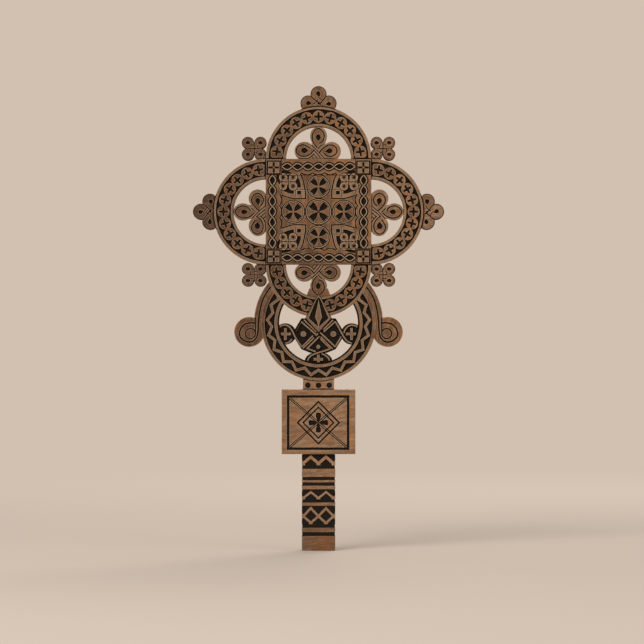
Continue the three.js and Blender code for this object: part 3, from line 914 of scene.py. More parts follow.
@dataclass
class BlockOrnament(Carving):
    """A square line round a cross of four bars. Drawn as the upper right block."""

    line_half: float = 4.8
    bar_start: float = 0.65
    bar_end: float = 4.0
    bar_width: float = 1.75

    def __post_init__(self) -> None:
        """Adds the square line in a light frame, and the cross."""
        c = BLOCK_MIDDLE
        self.rise(square((c, c), 7), Tone.BRIGHT)
        self.rise(square((c, c), self.line_half - 0.4))
        self.groove(square((c, c), self.line_half), 1.15, closed=True, depth=1.0)
        for dx, dz in CROSS:
            bar = [(c + dx * self.bar_start, c + dz * self.bar_start), (c + dx * self.bar_end, c + dz * self.bar_end)]
            self.groove(bar, self.bar_width, depth=1.0)


@dataclass
class RopeOrnament(Carving):
    """A rope of two strands with dark eyes between them. Drawn on the top rail."""

    middle: float = 33.8
    lean: int = 1  # 1 where the strands that rise to the right pass over, otherwise -1
    pitch: float = 7.84
    eyes: int = 7
    swing: float = 2.35
    width: float = 0.75
    outline: float = 2.1
    gap_half: float = 0.2  # half the dark line where a strand passes over, counted in eyes
    over_half: float = 0.32  # half the stretch of the strand that passes over
    scallop: float = 1.5
    scallop_pitch: float = 8.8
    scallop_steps: int = 48

    def wave(self, sign: float, start: float, end: float) -> Path:
        """Draws one strand's middle line between two places along the rope.

        Args:
            sign: 1 for the strand that first rises, -1 for the other.
            start: First place, counted in eyes from the rope's left end.
            end: Last place.

        Returns:
            Points along the strand.
        """
        steps = max(2, math.ceil((end - start) * self.pitch / 0.8))
        drawn: Path = []
        for i in range(steps + 1):
            place = start + (end - start) * i / steps
            x = (place - self.eyes / 2) * self.pitch
            drawn.append((x, self.middle + sign * self.swing * math.sin(math.pi * place)))
        return drawn

    def __post_init__(self) -> None:
        """Adds the rope and the scalloped edge below it."""
        whole = {sign: self.wave(sign, 0.0, float(self.eyes)) for sign in (-1, 1)}
        for sign in (-1, 1):
            self.groove(whole[sign], self.width + self.outline, depth=1.0)
        for eye in range(self.eyes):
            upper, lower = self.wave(1, eye, eye + 1), self.wave(-1, eye, eye + 1)
            self.sink(upper[1:-1] + lower[::-1][1:-1])
        for sign in (-1, 1):
            self.strand(whole[sign], self.width, tone=Tone.BRIGHT)
        for crossing in range(1, self.eyes):
            over = self.lean if crossing % 2 == 0 else -self.lean
            self.groove(self.wave(over, crossing - self.gap_half, crossing + self.gap_half), self.width + 1.1)
            upper = self.wave(over, crossing - self.over_half, crossing + self.over_half)
            self.strand(upper, self.width, tone=Tone.BRIGHT)
        self._scallops()

    def _scallops(self) -> None:
        """Cuts the scalloped dark line along the edge that meets the panel."""
        half = 1.5 * self.scallop_pitch
        places = [half * (2 * i / self.scallop_steps - 1) for i in range(self.scallop_steps + 1)]
        sags = [abs(math.cos(math.pi * x / self.scallop_pitch)) for x in places]
        self.groove([(x, RAIL_INSIDE + 1.4 - self.scallop * sag) for x, sag in zip(places, sags)], 0.95)


@dataclass(kw_only=True)
class Roundel(Carving):
    """A flared cross between four dark petals, inside a ring."""

    centre: Point
    radii: tuple[float, float, float]  # of the outer line, the inner line and the petals
    arm_half: float = 0.4  # half an arm's width near the middle
    arm_end: float = 0.47  # half its width at the end, as a part of the petals' radius
    flare: float = 2.1
    petal_steps: int = 8

    def __post_init__(self) -> None:
        """Adds the roundel's two lines, the light ring between them and its petals."""
        outer, inner, _ = self.radii
        self.groove(circle(self.centre, outer), 0.9, closed=True)
        self.strand(circle(self.centre, (outer + inner) / 2), 0.55, True, Tone.BRIGHT)
        self.groove(circle(self.centre, inner), 0.5, closed=True, tone=Tone.LINE)
        for quarter in range(4):
            self.sink(self.petal(45 + 90 * quarter), slope=0.15)

    def petal(self, angle: float) -> Path:
        """Draws a petal; the arms between petals widen outwards.

        Args:
            angle: The way that the petal points, in degrees.

        Returns:
            The petal's outline.
        """
        full = self.radii[2]
        radii = [full * k / self.petal_steps for k in range(1, self.petal_steps + 1)]
        halves = [self.arm_half + (self.arm_end * full - self.arm_half) * (r / full) ** self.flare for r in radii]
        edges = [math.asin(min(0.9, half / r)) for r, half in zip(radii, halves)]
        spread = [(r, math.pi / 4 - e) for r, e in zip(radii, edges) if math.pi / 4 - e > 0.05]
        turn = math.radians(angle)
        side = [(r * math.cos(turn + s), r * math.sin(turn + s)) for r, s in spread]
        other = [(r * math.cos(turn - s), r * math.sin(turn - s)) for r, s in reversed(spread)]
        first = spread[0][0] * 0.75
        tip = [(first * math.cos(turn), first * math.sin(turn))]
        return [(x + self.centre[0], z + self.centre[1]) for x, z in tip + side + other][::-1]


@dataclass
class PanelOrnament(Carving):
    """Five roundels. The corner motifs are drawings of their own, because they run over the joints."""

    big: tuple[float, float, float] = (9.8, 8.4, 8.15)
    small: tuple[float, float, float] = (8.6, 7.35, 7.1)
    spread: float = 18.95

    def __post_init__(self) -> None:
        """Adds the roundels, the middle one last because it lies over the others."""
        for x, z in ((0, 1), (1, 0), (0, -1), (-1, 0)):
            self.extend(Roundel(self.spot, centre=(x * self.spread, z * self.spread), radii=self.small))
        self.extend(Roundel(self.spot, centre=(0.0, 0.0), radii=self.big))
        self.sink(circle((0.0, 0.0), 1.2), 0.4, Tone.SMOKED)


@dataclass
class CornerMotif(Carving):
    """A loop knot on black, inside an angled strip. Drawn as the upper left one."""

    knot_middle: Point = (-22.7, 22.4)

    def __post_init__(self) -> None:
        """Adds the strip, its eyes and the loop knot."""
        outside = curve([(-13.6, 28.6), (-11.6, 23.7), (-10.4, 18.2), (-9.8, 15.0)])
        outside += curve([(-9.8, 10.0), (-18.1, 9.75), (-23.2, 10.9), (-27.7, 12.4)])
        self.rise(outside + [(-27.6, 27.6)])
        self.groove(outside)
        for line in ([(-18.1, 16.9), (-6.0, 16.7)], [(-17.4, 17.6), (-17.4, 11.0)]):
            self.groove(line, 0.5, depth=0.4, tone=Tone.SMOKED)
        self.sink(curve([(-16.4, 26.8), (-14.9, 25.0), (-13.5, 21.6), (-13.2, 18.1)]) + [(-16.2, 18.1), (-17.0, 22.3)])
        self.sink([(-16.1, 15.7), (-13.1, 15.7), (-13.1, 12.9), (-16.1, 12.9)])
        self.sink([(-26.8, 15.7), (-23.2, 17.7), (-18.5, 16.3), (-18.5, 13.3), (-21.9, 13.7), (-25.1, 14.9)])
        self.sink([(-27.4, 31.2), (-22.4, 30.3), (-19.9, 29.3), (-22.4, 28.2), (-27.4, 28.8)])
        self.sink([(-31.8, 27.4), (-30.7, 22.0), (-29.3, 20.4), (-28.9, 22.0), (-29.4, 27.4)])
        self._loop_knot()

    def _loop_knot(self) -> None:
        """Adds the four small loops and the pinwheel between them."""
        cx, cz = self.knot_middle
        self.sink(square(self.knot_middle, 5.2))
        centres = [(-26.5, 25.75), (-19.1, 25.75), (-26.6, 19.2), (-19.1, 19.1)]
        for centre in centres:
            self.sink(circle(centre, 3.6))
        for centre in centres:
            self.rise(circle(centre, 3.05), Tone.BRIGHT)
            self.sink(circle(centre, 1.9), 0.4, Tone.PLAIN)
            self.sink(circle(centre, 1.15), tone=Tone.LINE)
        self.rise(square(self.knot_middle, 2.2))
        for dx, dz in CROSS:
            self.groove([(cx, cz), (cx + dx * 2.6, cz + dz * 2.6)], 0.55, tone=Tone.LINE)
            side = (cx + dz * 1.7, cz - dx * 1.7)
            self.groove([side, (side[0] + dx * 1.2, side[1] + dz * 1.2)], 0.45, tone=Tone.SMOKED)


@dataclass
class KnotOrnament(Carving):
    """Three loops of a doubled strand that cross in the middle. Drawn as the top knot, above its rail."""

    line: float = 1.05

    def __post_init__(self) -> None:
        """Adds the line along the strand's middle, the crossing lines, the lines under the loops that are partly
        painted shadow, and the eyes.
        """
        tip = [(-0.8, 8.5), (-2.2, 10.0), (-3.6, 11.9), (-4.6, 14.7), (-4.7, 17.5), (-3.9, 20.0), (-1.9, 22.2),
               (0.25, 22.9), (2.2, 21.7), (3.9, 19.4), (4.3, 16.9), (3.6, 14.1), (2.2, 12.5), (0.3, 11.6)]
        left = [(-3.3, 7.2), (-4.9, 5.0), (-6.9, 3.3), (-9.4, 2.2), (-12.0, 2.1), (-14.5, 2.9), (-16.2, 4.4),
                (-16.8, 6.4), (-16.0, 8.5), (-14.4, 10.0), (-12.2, 10.7), (-10.2, 10.4), (-8.0, 9.2), (-5.9, 7.9)]
        right = [(4.2, 4.5), (6.1, 2.5), (8.6, 1.8), (11.1, 2.4), (13.0, 4.0), (13.8, 6.1), (13.2, 8.1), (11.6, 9.8),
                 (9.2, 10.6), (6.6, 10.2), (4.4, 8.8), (2.2, 6.9), (0.8, 5.0)]
        for loop in (left, right, tip):
            self.rise(self._lift(curve(loop)), Tone.PLAIN)
        for loop in (left, right, tip):
            self.groove(self._lift(curve(loop)), self.line, tone=Tone.LINE)
        for strand in (
            [(-5.2, 10.4), (-2.0, 7.4), (0.8, 4.6), (2.6, 2.4), (4.3, 0.4)],
            [(-3.3, 6.6), (-0.6, 3.6), (1.6, 0.7)],
            [(-3.9, 3.9), (-2.0, 1.9), (-0.8, 0.4)],
            [(-8.0, 0.5), (-5.9, 1.6), (-4.3, 3.0), (-3.4, 4.4)],
            [(-5.0, 1.9), (-3.6, 0.4)],
            [(-0.5, 7.7), (1.2, 9.6), (2.8, 10.9)],
        ):
            self.groove(self._lift(curve(strand)), self.line * 0.8, tone=Tone.LINE)
        # Black lines along the joint with the rail below the left and right loops: partly a dark joint, partly painted
        # shadow under the loops.
        for start, end in ((-16.2, -8.0), (4.3, 12.2)):
            self.groove(self._lift([(start, 0.3), (end, 0.3)]), self.line)
        eyes = (((-10.8, 6.4), 2.3, 2.15, (-7.6, 6.1)), ((8.3, 6.1), 2.15, 1.95, (4.5, 5.6)),
                ((-0.15, 16.4), 2.2, 1.9, (-0.1, 13.4)))
        for centre, long, wide, point in eyes:
            self.sink(self._lift(self._drop(centre, long, wide, point)))

    def _drop(self, centre: Point, long: float, wide: float, point: Point) -> Path:
        """Draws an oval that is drawn out to a point, like a drop.

        Args:
            centre: Middle of the oval.
            long: Half its length, towards the point.
            wide: Half its width.
            point: The point.

        Returns:
            The drop's outline.
        """
        dx, dz = point[0] - centre[0], point[1] - centre[1]
        reach = math.hypot(dx, dz)
        oval = arc((0.0, 0.0), long, 45, 315, wide)
        turned = [((x * dx - z * dz) / reach + centre[0], (x * dz + z * dx) / reach + centre[1]) for x, z in oval]
        return turned + [point]

    def _lift(self, points: Path) -> Path:
        """Moves points from the rail's edge to the head's centre."""
        return [(x, z + SQUARE_HALF) for x, z in points]


@dataclass
class FinialOrnament(Carving):
    """Three plain loops whose strands cross below a small dark lozenge. Drawn as the top finial."""

    line: float = 0.95

    def __post_init__(self) -> None:
        """Adds the crossing lines and the eyes."""
        self.rise(arc(ARCH_MIDDLE, 41.0, 66, 114) + arc(ARCH_MIDDLE, 39.0, 114, 66), Tone.SPARED)
        self.groove(curve([(-6.0, 86.9), (-3.9, 84.9), (-1.6, 83.2), (1.0, 81.2), (1.4, 79.6)]), self.line)
        self.groove(curve([(5.6, 87.0), (4.4, 84.8), (2.4, 82.6), (0.6, 80.4)]), self.line)
        self.groove(curve([(-0.6, 86.6), (1.2, 84.9), (3.6, 83.6)]), self.line * 0.8)
        self.groove(curve([(-4.4, 80.6), (-2.2, 82.0), (-0.4, 84.4)]), self.line * 0.8)
        self.sink([(0.0, 82.6), (-1.0, 81.4), (0.0, 80.2), (1.0, 81.4)], slope=0.15)
        for centre, tail in (((-0.3, 88.7), (0.9, 86.4)), ((-7.8, 81.5), (-5.0, 81.6)), ((7.8, 80.9), (5.2, 80.6))):
            towards = math.degrees(math.atan2(tail[1] - centre[1], tail[0] - centre[0]))
            self.sink([tail] + arc(centre, 1.65, towards + 50, towards + 310))


@dataclass
class CornerKnotOrnament(Carving):
    """Four loops whose straight sides meet as a pinwheel. Drawn as the lower left knot."""

    middle: Point = (-48.3, -47.35)
    pitch_x: float = 9.4
    pitch_z: float = 8.7
    reach: float = 4.4  # from the middle to the end of a straight side
    bar: float = 2.7

    def __post_init__(self) -> None:
        """Adds the pinwheel's lines and the eyes."""
        cx, cz = self.middle
        for dx, dz in CROSS:
            self.groove([(cx, cz), (cx + dx * self.reach, cz + dz * self.reach)], 0.8)
            side = (cx - dz * self.bar, cz + dx * self.bar)
            self.groove([(side[0] + dx * self.bar, side[1] + dz * self.bar), side], 0.75)
        for sx in (-1, 1):
            for sz in (-1, 1):
                eye = (cx + sx * self.pitch_x / 2, cz + sz * self.pitch_z / 2)
                self.sink(circle(eye, 1.8, 1.4), tone=Tone.LINE)
                self.groove(circle(eye, 3.2), 0.5, True, 0.3, Tone.SMOKED)


@dataclass
class RingOrnament(Carving):
    """A light zigzag on a blackened band, between two plain strips."""

    rim_line: float = 30.2
    inner_line: float = 33.0
    outer_line: float = 40.5
    drop: float = 0.6  # how far the outer line's middle lies below the inner one's
    inner_point: float = 35.1
    outer_point: float = 38.5
    pitch: float = 17.2
    width: float = 1.95
    ends: tuple[float, float] = (-232.0, 52.0)  # the angles between which the band runs

    def __post_init__(self) -> None:
        """Adds the band's ground and the zigzag."""
        centre = (0.0, 0.0)
        self.rise(rectangle(-46, -48, 46, -12))
        self.rise(circle(centre, self.inner_line + 1.0))
        start, end = self.ends
        self.groove(arc(centre, self.rim_line, start, end), 1.4)
        self.sink(arc((0.0, -self.drop), self.outer_line, start, end) + arc(centre, self.inner_line, end, start))
        points: Path = []
        for number in range(-17, 18):
            angle = math.radians(-90 + number * self.pitch / 2)
            inner = number % 2 == 0
            radius, drop = (self.inner_point, 0.0) if inner else (self.outer_point, self.drop)
            points.append((radius * math.cos(angle), radius * math.sin(angle) - drop))
        self.strand(points, self.width)


@dataclass
class ScrollOrnament(Carving):
    """A line along the arm that winds into the volute. Drawn as the left arm."""

    line: float = 1.3

    def __post_init__(self) -> None:
        """Adds the arm's line, the spiral and the volute's round boss."""
        spiral = curve([(-32.6, 31.2), (-38.0, 24.4), (-41.8, 17.6), (-44.1, 9.0), (-44.9, 2.7), (-45.1, -2.4),
                        (-45.6, -6.7), (-46.3, -9.9), (-48.4, -12.9), (-51.8, -14.2), (-55.8, -13.0), (-58.6, -10.4),
                        (-59.3, -7.0), (-57.7, -3.2), (-55.0, -0.7), (-50.9, 0.3), (-47.5, 0.1)])
        self.groove(spiral, self.line)
        self.groove(curve([(-47.4, 4.4), (-47.4, 0.0), (-47.35, -4.0), (-47.5, -7.8)]), self.line * 0.85)
        self.groove(circle((-51.1, -7.75), 3.75), self.line * 0.85, closed=True)


@dataclass
class WovenOrnament(Carving):
    """Two lozenges, a triangle and three small loops of light strands on black."""

    width: float = 1.0
    fine_width: float = 0.8

    def __post_init__(self) -> None:
        """Adds the ground, the strands, the small crosses and the dots."""
        self.sink(rectangle(-34, -36, 34, 6), slope=0.0)
        self._lozenges()
        self._triangle()
        self._loops()
        for x, z, radius in ((-11.35, -8.05, 2.1), (11.1, -8.0, 2.1), (-0.2, -17.6, 1.45)):
            self.rise(circle((x, z), radius))

    def _lozenges(self) -> None:
        """Adds the borders of the two lozenges and the fine strands beside them."""
        for path in (
            [(-10.9, 2.7), (-1.6, -6.6)],
            [(1.5, -10.1), (10.6, -19.2)],
            [(10.9, 2.6), (3.5, -4.8)],
            [(-3.4, -10.9), (-11.6, -18.8)],
        ):
            self.strand(path, self.fine_width)
        self.strand([(-12.8, 0.9), (-17.0, -6.4)], 0.5, tone=Tone.SMOKED)
        for path in (
            [(-12.9, 1.2), (-1.0, -9.3)],
            [(-4.2, -9.3), (-12.5, -17.8)],
            [(12.7, 1.4), (3.9, -6.4)],
            [(1.4, -7.1), (12.6, -17.8)],
            [(16.9, -10.1), (12.6, -17.6)],
            [(1.2, -6.3), (-1.6, -8.6)],
        ):
            self.strand(path, self.width)

    def _triangle(self) -> None:
        """Adds the borders of the bottom triangle; the right one runs on into the bottom loop."""
        self.strand([(0.6, -9.9), (-8.6, -18.9), (-2.2, -21.2)], self.width)
        self.strand([(1.5, -11.7), (8.9, -19.1)], self.width)
        edge = [(8.9, -19.1), (3.6, -21.0), (-0.6, -22.2), (-4.6, -23.7), (-7.4, -26.2), (-8.8, -29.9)]
        self.strand(curve(edge), self.width)

    def _loops(self) -> None:
        """Adds the strands and crosses of the three small loops."""
        for path in (
            [(-30.4, -3.6), (-28.0, -1.9), (-25.0, -1.3), (-21.9, -2.7), (-19.6, -5.9), (-17.6, -10.1), (-15.0, -14.2),
             (-12.5, -17.8)],
            [(-27.4, -14.6), (-24.6, -15.0), (-22.2, -14.2), (-20.0, -11.9)],
            [(12.8, 1.0), (14.9, -2.7), (16.9, -6.4), (18.9, -10.1), (21.4, -13.2), (25.0, -14.9), (28.0, -14.4)],
            [(19.1, -7.2), (20.0, -4.6), (22.1, -2.3), (25.0, -1.4), (28.0, -2.1), (30.4, -3.8)],
            [(2.4, -22.9), (5.0, -24.0), (7.4, -26.1), (8.9, -29.9)],
        ):
            self.groove(curve(path), self.width + 1.0, depth=DEEP)
            self.strand(curve(path), self.width)
        for x, z, wide, tall in ((-24.9, -8.05, 4.1, 4.4), (24.7, -8.05, 4.1, 4.4), (-0.15, -27.0, 3.5, 3.3)):
            self.strand([(x - wide, z), (x + wide, z)], 1.9)
            self.strand([(x, z - tall), (x, z + tall)], 1.9)


@dataclass
class SpearOrnament(Carving):
    """A slim leaf on black inside a light border."""

    def __post_init__(self) -> None:
        """Adds the ground and the leaf."""
        self.rise(rectangle(-14, -10, 14, 26))
        self.sink([(0.0, -3.0), (-7.5, 3.8), (-1.9, 17.3), (0.0, 19.9), (1.9, 17.3), (7.5, 3.8)])
        side = [(-0.3, 15.6), (-1.4, 10.2), (-2.55, 4.5), (-0.75, 0.5), (-0.25, -2.4)]
        leaf = [(0.0, 18.2)] + side + [(0.0, -3.0)] + [(-x, z) for x, z in reversed(side)]
        self.rise(leaf, slope=0.1)


@dataclass
class TabletOrnament(Carving):
    """A frame line, crossing lines, a double lozenge and a flower of four petals."""

    centre: Point = (-0.1, 96.15)
    cross_rise: float = 19.6  # from the middle to the ends of the crossing lines
    cross_pair: float = 0.68 * 1.2  # from the middle between two crossing lines to each

    def __post_init__(self) -> None:
        """Adds the lines from the frame inwards, then the flower."""
        cx, cz = self.centre
        for sign in (-1, 1):
            for side in (-self.cross_pair, self.cross_pair):
                ends = [(-23.0, cz + sign * self.cross_rise + side), (22.6, cz - sign * self.cross_rise + side)]
                self.groove(ends, 0.8)
        self.groove(rectangle(-22.75, 76.65, 22.15, 115.75), 2.0, closed=True, depth=1.1)
        for wide, tall, width in ((15.5, 15.8, 1.3), (11.4, 11.5, 1.2)):
            self.groove([(cx, cz + tall), (cx - wide, cz), (cx, cz - tall), (cx + wide, cz)], width, closed=True)
        self._flower()

    def _flower(self) -> None:
        """Adds the four petals and the fine light cross between them."""
        half = [(1.1, 1.5), (1.15, 2.6), (1.9, 4.4), (2.0, 6.4), (1.5, 7.4)]
        petal = [(0.0, 0.25)] + half + [(-x, z) for x, z in reversed(half)]
        for quarter in range(4):
            spot = Spot(self.centre[0], self.centre[1], quarter)
            self.sink(spot.place(petal), depth=1.0, slope=0.08)


@dataclass(frozen=True)
class HandleOrnament:
    """Black bands with zigzags and lozenges. The same bands run round all four sides without a break."""

    width: float = 24.8
    thickness: float = 15.0
    repeats: int = 7
    low_point: float = -0.1
    depth: float = 0.3
    stretch: float = 1.8  # longest straight stretch of a band or zigzag

    def carvings(self) -> dict[Face, Carving]:
        """Draws the bands of each side.

        Returns:
            The carving of each of the four sides.
        """
        across, through = self.width / 2, self.thickness / 2
        starts = {
            Face.FRONT: (1.0, 0.0, across),
            Face.RIGHT: (1.0, across + through, through),
            Face.BACK: (-1.0, self.width + self.thickness, across),
            Face.LEFT: (-1.0, 3 * across + self.thickness + through, through),
        }
        return {face: self._side(*place) for face, place in starts.items()}

    def _side(self, sign: float, middle: float, half: float) -> Carving:
        """Draws one side.

        Args:
            sign: 1 where the side's own direction runs the same way as the way round the bar.
            middle: How far round the bar the side's middle lies, in millimetres from the front's middle.
            half: Half of the side's width.

        Returns:
            The side's carving.
        """
        carving = Carving(Spot(unsteadiness=0.0))
        whole_round = 2 * (self.width + self.thickness)
        pitch = whole_round / self.repeats
        first = math.floor((middle - half - self.low_point) / pitch) - 1
        rounds = [self.low_point + pitch * (first + k / 2) for k in range(2 * math.ceil(2 * half / pitch) + 6)]

        def to_side(round_place: float, z: float) -> Point:
            """Takes a place round the bar to the side's own coordinates.

            Args:
                round_place: Millimetres round the bar from the front's middle.
                z: Height.

            Returns:
                The place on the side, a little unsteady.
            """
            turn = 2 * math.pi * round_place / whole_round
            shake = 0.05 * math.sin(3 * turn + 0.7 * z) + 0.03 * math.sin(8 * turn - 1.3 * z + 2.0)
            return (sign * (round_place - middle), z + shake)

        def line(low: float, high: float) -> Path:
            """Draws the zigzag that swings between two heights."""
            ends = [(place, low if k % 2 == 0 else high) for k, place in enumerate(rounds)]
            return [to_side(*point) for point in fine(ends, False, self.stretch)]

        for low, high in ((61.4, 75.0), (52.9, 55.5), (48.7, 51.4), (36.1, 46.2), (17.2, 33.9), (11.0, 14.1)):
            reach = half + 3
            edge = [(middle - reach, low), (middle + reach, low), (middle + reach, high), (middle - reach, high)]
            carving.sink([to_side(*point) for point in fine(edge, True, self.stretch)], self.depth, slope=0.1)
        for low, high, width in ((65.5, 70.4, 2.1), (39.6, 44.0, 1.5), (25.9, 31.9, 1.7), (25.9, 20.9, 1.7)):
            carving.strand(line(low, high), width)
        for height, width, first in ((64.7, 1.2, 0), (39.1, 1.0, 0), (20.6, 1.1, 1)):
            for place in rounds[first::2]:
                carving.strand([to_side(place - 1.4, height), to_side(place + 1.4, height)], width)
        return carving


# Finishes


def paint(red: int, green: int, blue: int) -> Colour:
    """Turns a screen colour, 0 to 255, into a linear one."""
    shares = [value / 255 for value in (red, green, blue)]
    return tuple(c / 12.92 if c <= 0.04045 else ((c + 0.055) / 1.055) ** 2.4 for c in shares)


class Signal:
    """A socket's value in an expression. Each operator adds a Math node."""

    def __init__(self, shader: "Shader", socket: bpy.types.NodeSocket) -> None:
        """Wraps a socket."""
        self.shader = shader
        self.socket = socket

    def _math(self, operation: str, first: "Signal | float", second: "Signal | float") -> "Signal":
        """Adds a Math node."""
        return self.shader.node("ShaderNodeMath", {"operation": operation}, {0: first, 1: second})

    def __add__(self, other: "Signal | float") -> "Signal":
        """Adds."""
        return self._math("ADD", self, other)

    __radd__ = __add__

    def __sub__(self, other: "Signal | float") -> "Signal":
        """Subtracts."""
        return self._math("SUBTRACT", self, other)

    def __rsub__(self, other: float) -> "Signal":
        """Subtracts this from a number."""
        return self._math("SUBTRACT", other, self)

    def __mul__(self, other: "Signal | float") -> "Signal":
        """Multiplies."""
        return self._math("MULTIPLY", self, other)

    __rmul__ = __mul__

    def at_least(self, other: "Signal | float") -> "Signal":
        """Gives the larger of two values."""
        return self._math("MAXIMUM", self, other)

    def at_most(self, other: "Signal | float") -> "Signal":
        """Gives the smaller of two values."""
        return self._math("MINIMUM", self, other)

    def sine(self) -> "Signal":
        """Gives the sine."""
        return self._math("SINE", self, 0.0)

    def along(self, axis: str) -> "Signal":
        """Gives a vector's part along an axis."""
        return self.shader.node("ShaderNodeSeparateXYZ", {}, {0: self}, axis)

    def ramp(self, low: float, high: float) -> "Signal":
        """Rises smoothly from 0 to 1 between two values."""
        settings = {"interpolation_type": "SMOOTHSTEP", "clamp": True}
        return self.shader.node("ShaderNodeMapRange", settings, {"Value": self, "From Min": low, "From Max": high})


class Shader:
    """A material under construction. Every node comes from the same method."""

    def __init__(self, owner: bpy.types.Material | bpy.types.World) -> None:
        """Empties a node tree.

        Args:
            owner: The material or world that the tree belongs to.
        """
        owner.use_nodes = True
        self.tree = owner.node_tree
        self.tree.nodes.clear()

    def node(self, kind: str, settings: dict[str, object] | None = None,
             inputs: dict[str | int, object] | None = None, output: str | int = 0) -> Signal:
        """Adds a node.

        Args:
            kind: The node's type.
            settings: The node's own settings.
            inputs: A value or a signal for each socket, by name or number.
            output: Which output is wanted.

        Returns:
            The wanted output, or an empty signal for a node without outputs.
        """
        made = self.tree.nodes.new(kind)
        for name, value in (settings or {}).items():
            setattr(made, name, value)
        for name, value in (inputs or {}).items():
            if isinstance(value, Signal):
                self.tree.links.new(value.socket, made.inputs[name])
            else:
                made.inputs[name].default_value = value
        return Signal(self, made.outputs[output] if made.outputs else None)

    def stretched(self, vector: Signal, amounts: tuple[float, float, float]) -> Signal:
        """Scales a vector by a different amount along each axis."""
        return self.node("ShaderNodeVectorMath", {"operation": "MULTIPLY"}, {0: vector, 1: amounts})

    def place(self) -> Signal:
        """Gives each point's place in millimetres."""
        return self.stretched(self.node("ShaderNodeTexCoord", output="Object"), (1 / MM, 1 / MM, 1 / MM))

    def noise(self, vector: Signal, waves: Waves, detail: float = 3.0, roughness: float = 0.5,
              distortion: float = 0.0) -> Signal:
        """Adds a noise.

        Args:
            vector: Where it is measured, in millimetres.
            waves: How many waves it has in a millimetre, along each axis.
            detail: How many finer layers it has.
            roughness: How strong these are.
            distortion: How far it is bent.

        Returns:
            The noise, 0 to 1.
        """
        inputs = {"Vector": self.stretched(vector, waves), "Scale": 1.0, "Detail": detail, "Roughness": roughness,
                  "Distortion": distortion}
        return self.node("ShaderNodeTexNoise", {"noise_dimensions": "3D"}, inputs, "Fac")

    def mix(self, first: Signal | Colour, second: Signal | Colour, amount: Signal | float,
            blend: str = "MIX") -> Signal:
        """Blends two colours.

        Args:
            first: The colour where the amount is 0.
            second: The colour where the amount is 1, or what it does to the first.
            amount: How much of the second.
            blend: The way that they are blended.

        Returns:
            The blended colour.
        """
        sides = {6: first, 7: second}
        full = {k: v if isinstance(v, Signal) else (*v, 1.0) for k, v in sides.items()}
        settings = {"data_type": "RGBA", "blend_type": blend, "clamp_factor": True}
        return self.node("ShaderNodeMix", settings, {0: amount, **full}, 2)

    def darken(self, colour: Signal, amount: Signal, by: Colour) -> Signal:
        """Multiplies a colour where the amount says so."""
        return self.mix(colour, by, amount, "MULTIPLY")

    def end_as_wood(self, colour: Signal, roughness: Signal, relief: Signal, strength: float, height: float) -> None:
        """Ends the material with a dull wooden surface.

        Args:
            colour: Its colour.
            roughness: Its roughness.
            relief: How high each point stands.
            strength: How strongly the relief shows.
            height: How high a relief of 1 is, in metres.
        """
        bump = self.node("ShaderNodeBump", {}, {"Strength": strength, "Distance": height, "Height": relief}, "Normal")
        inputs = {"Base Color": colour, "Roughness": roughness, "Normal": bump, "Specular IOR Level": DULL_SHINE}
        surface = self.node("ShaderNodeBsdfPrincipled", {}, inputs)
        self.node("ShaderNodeOutputMaterial", {}, {"Surface": surface})


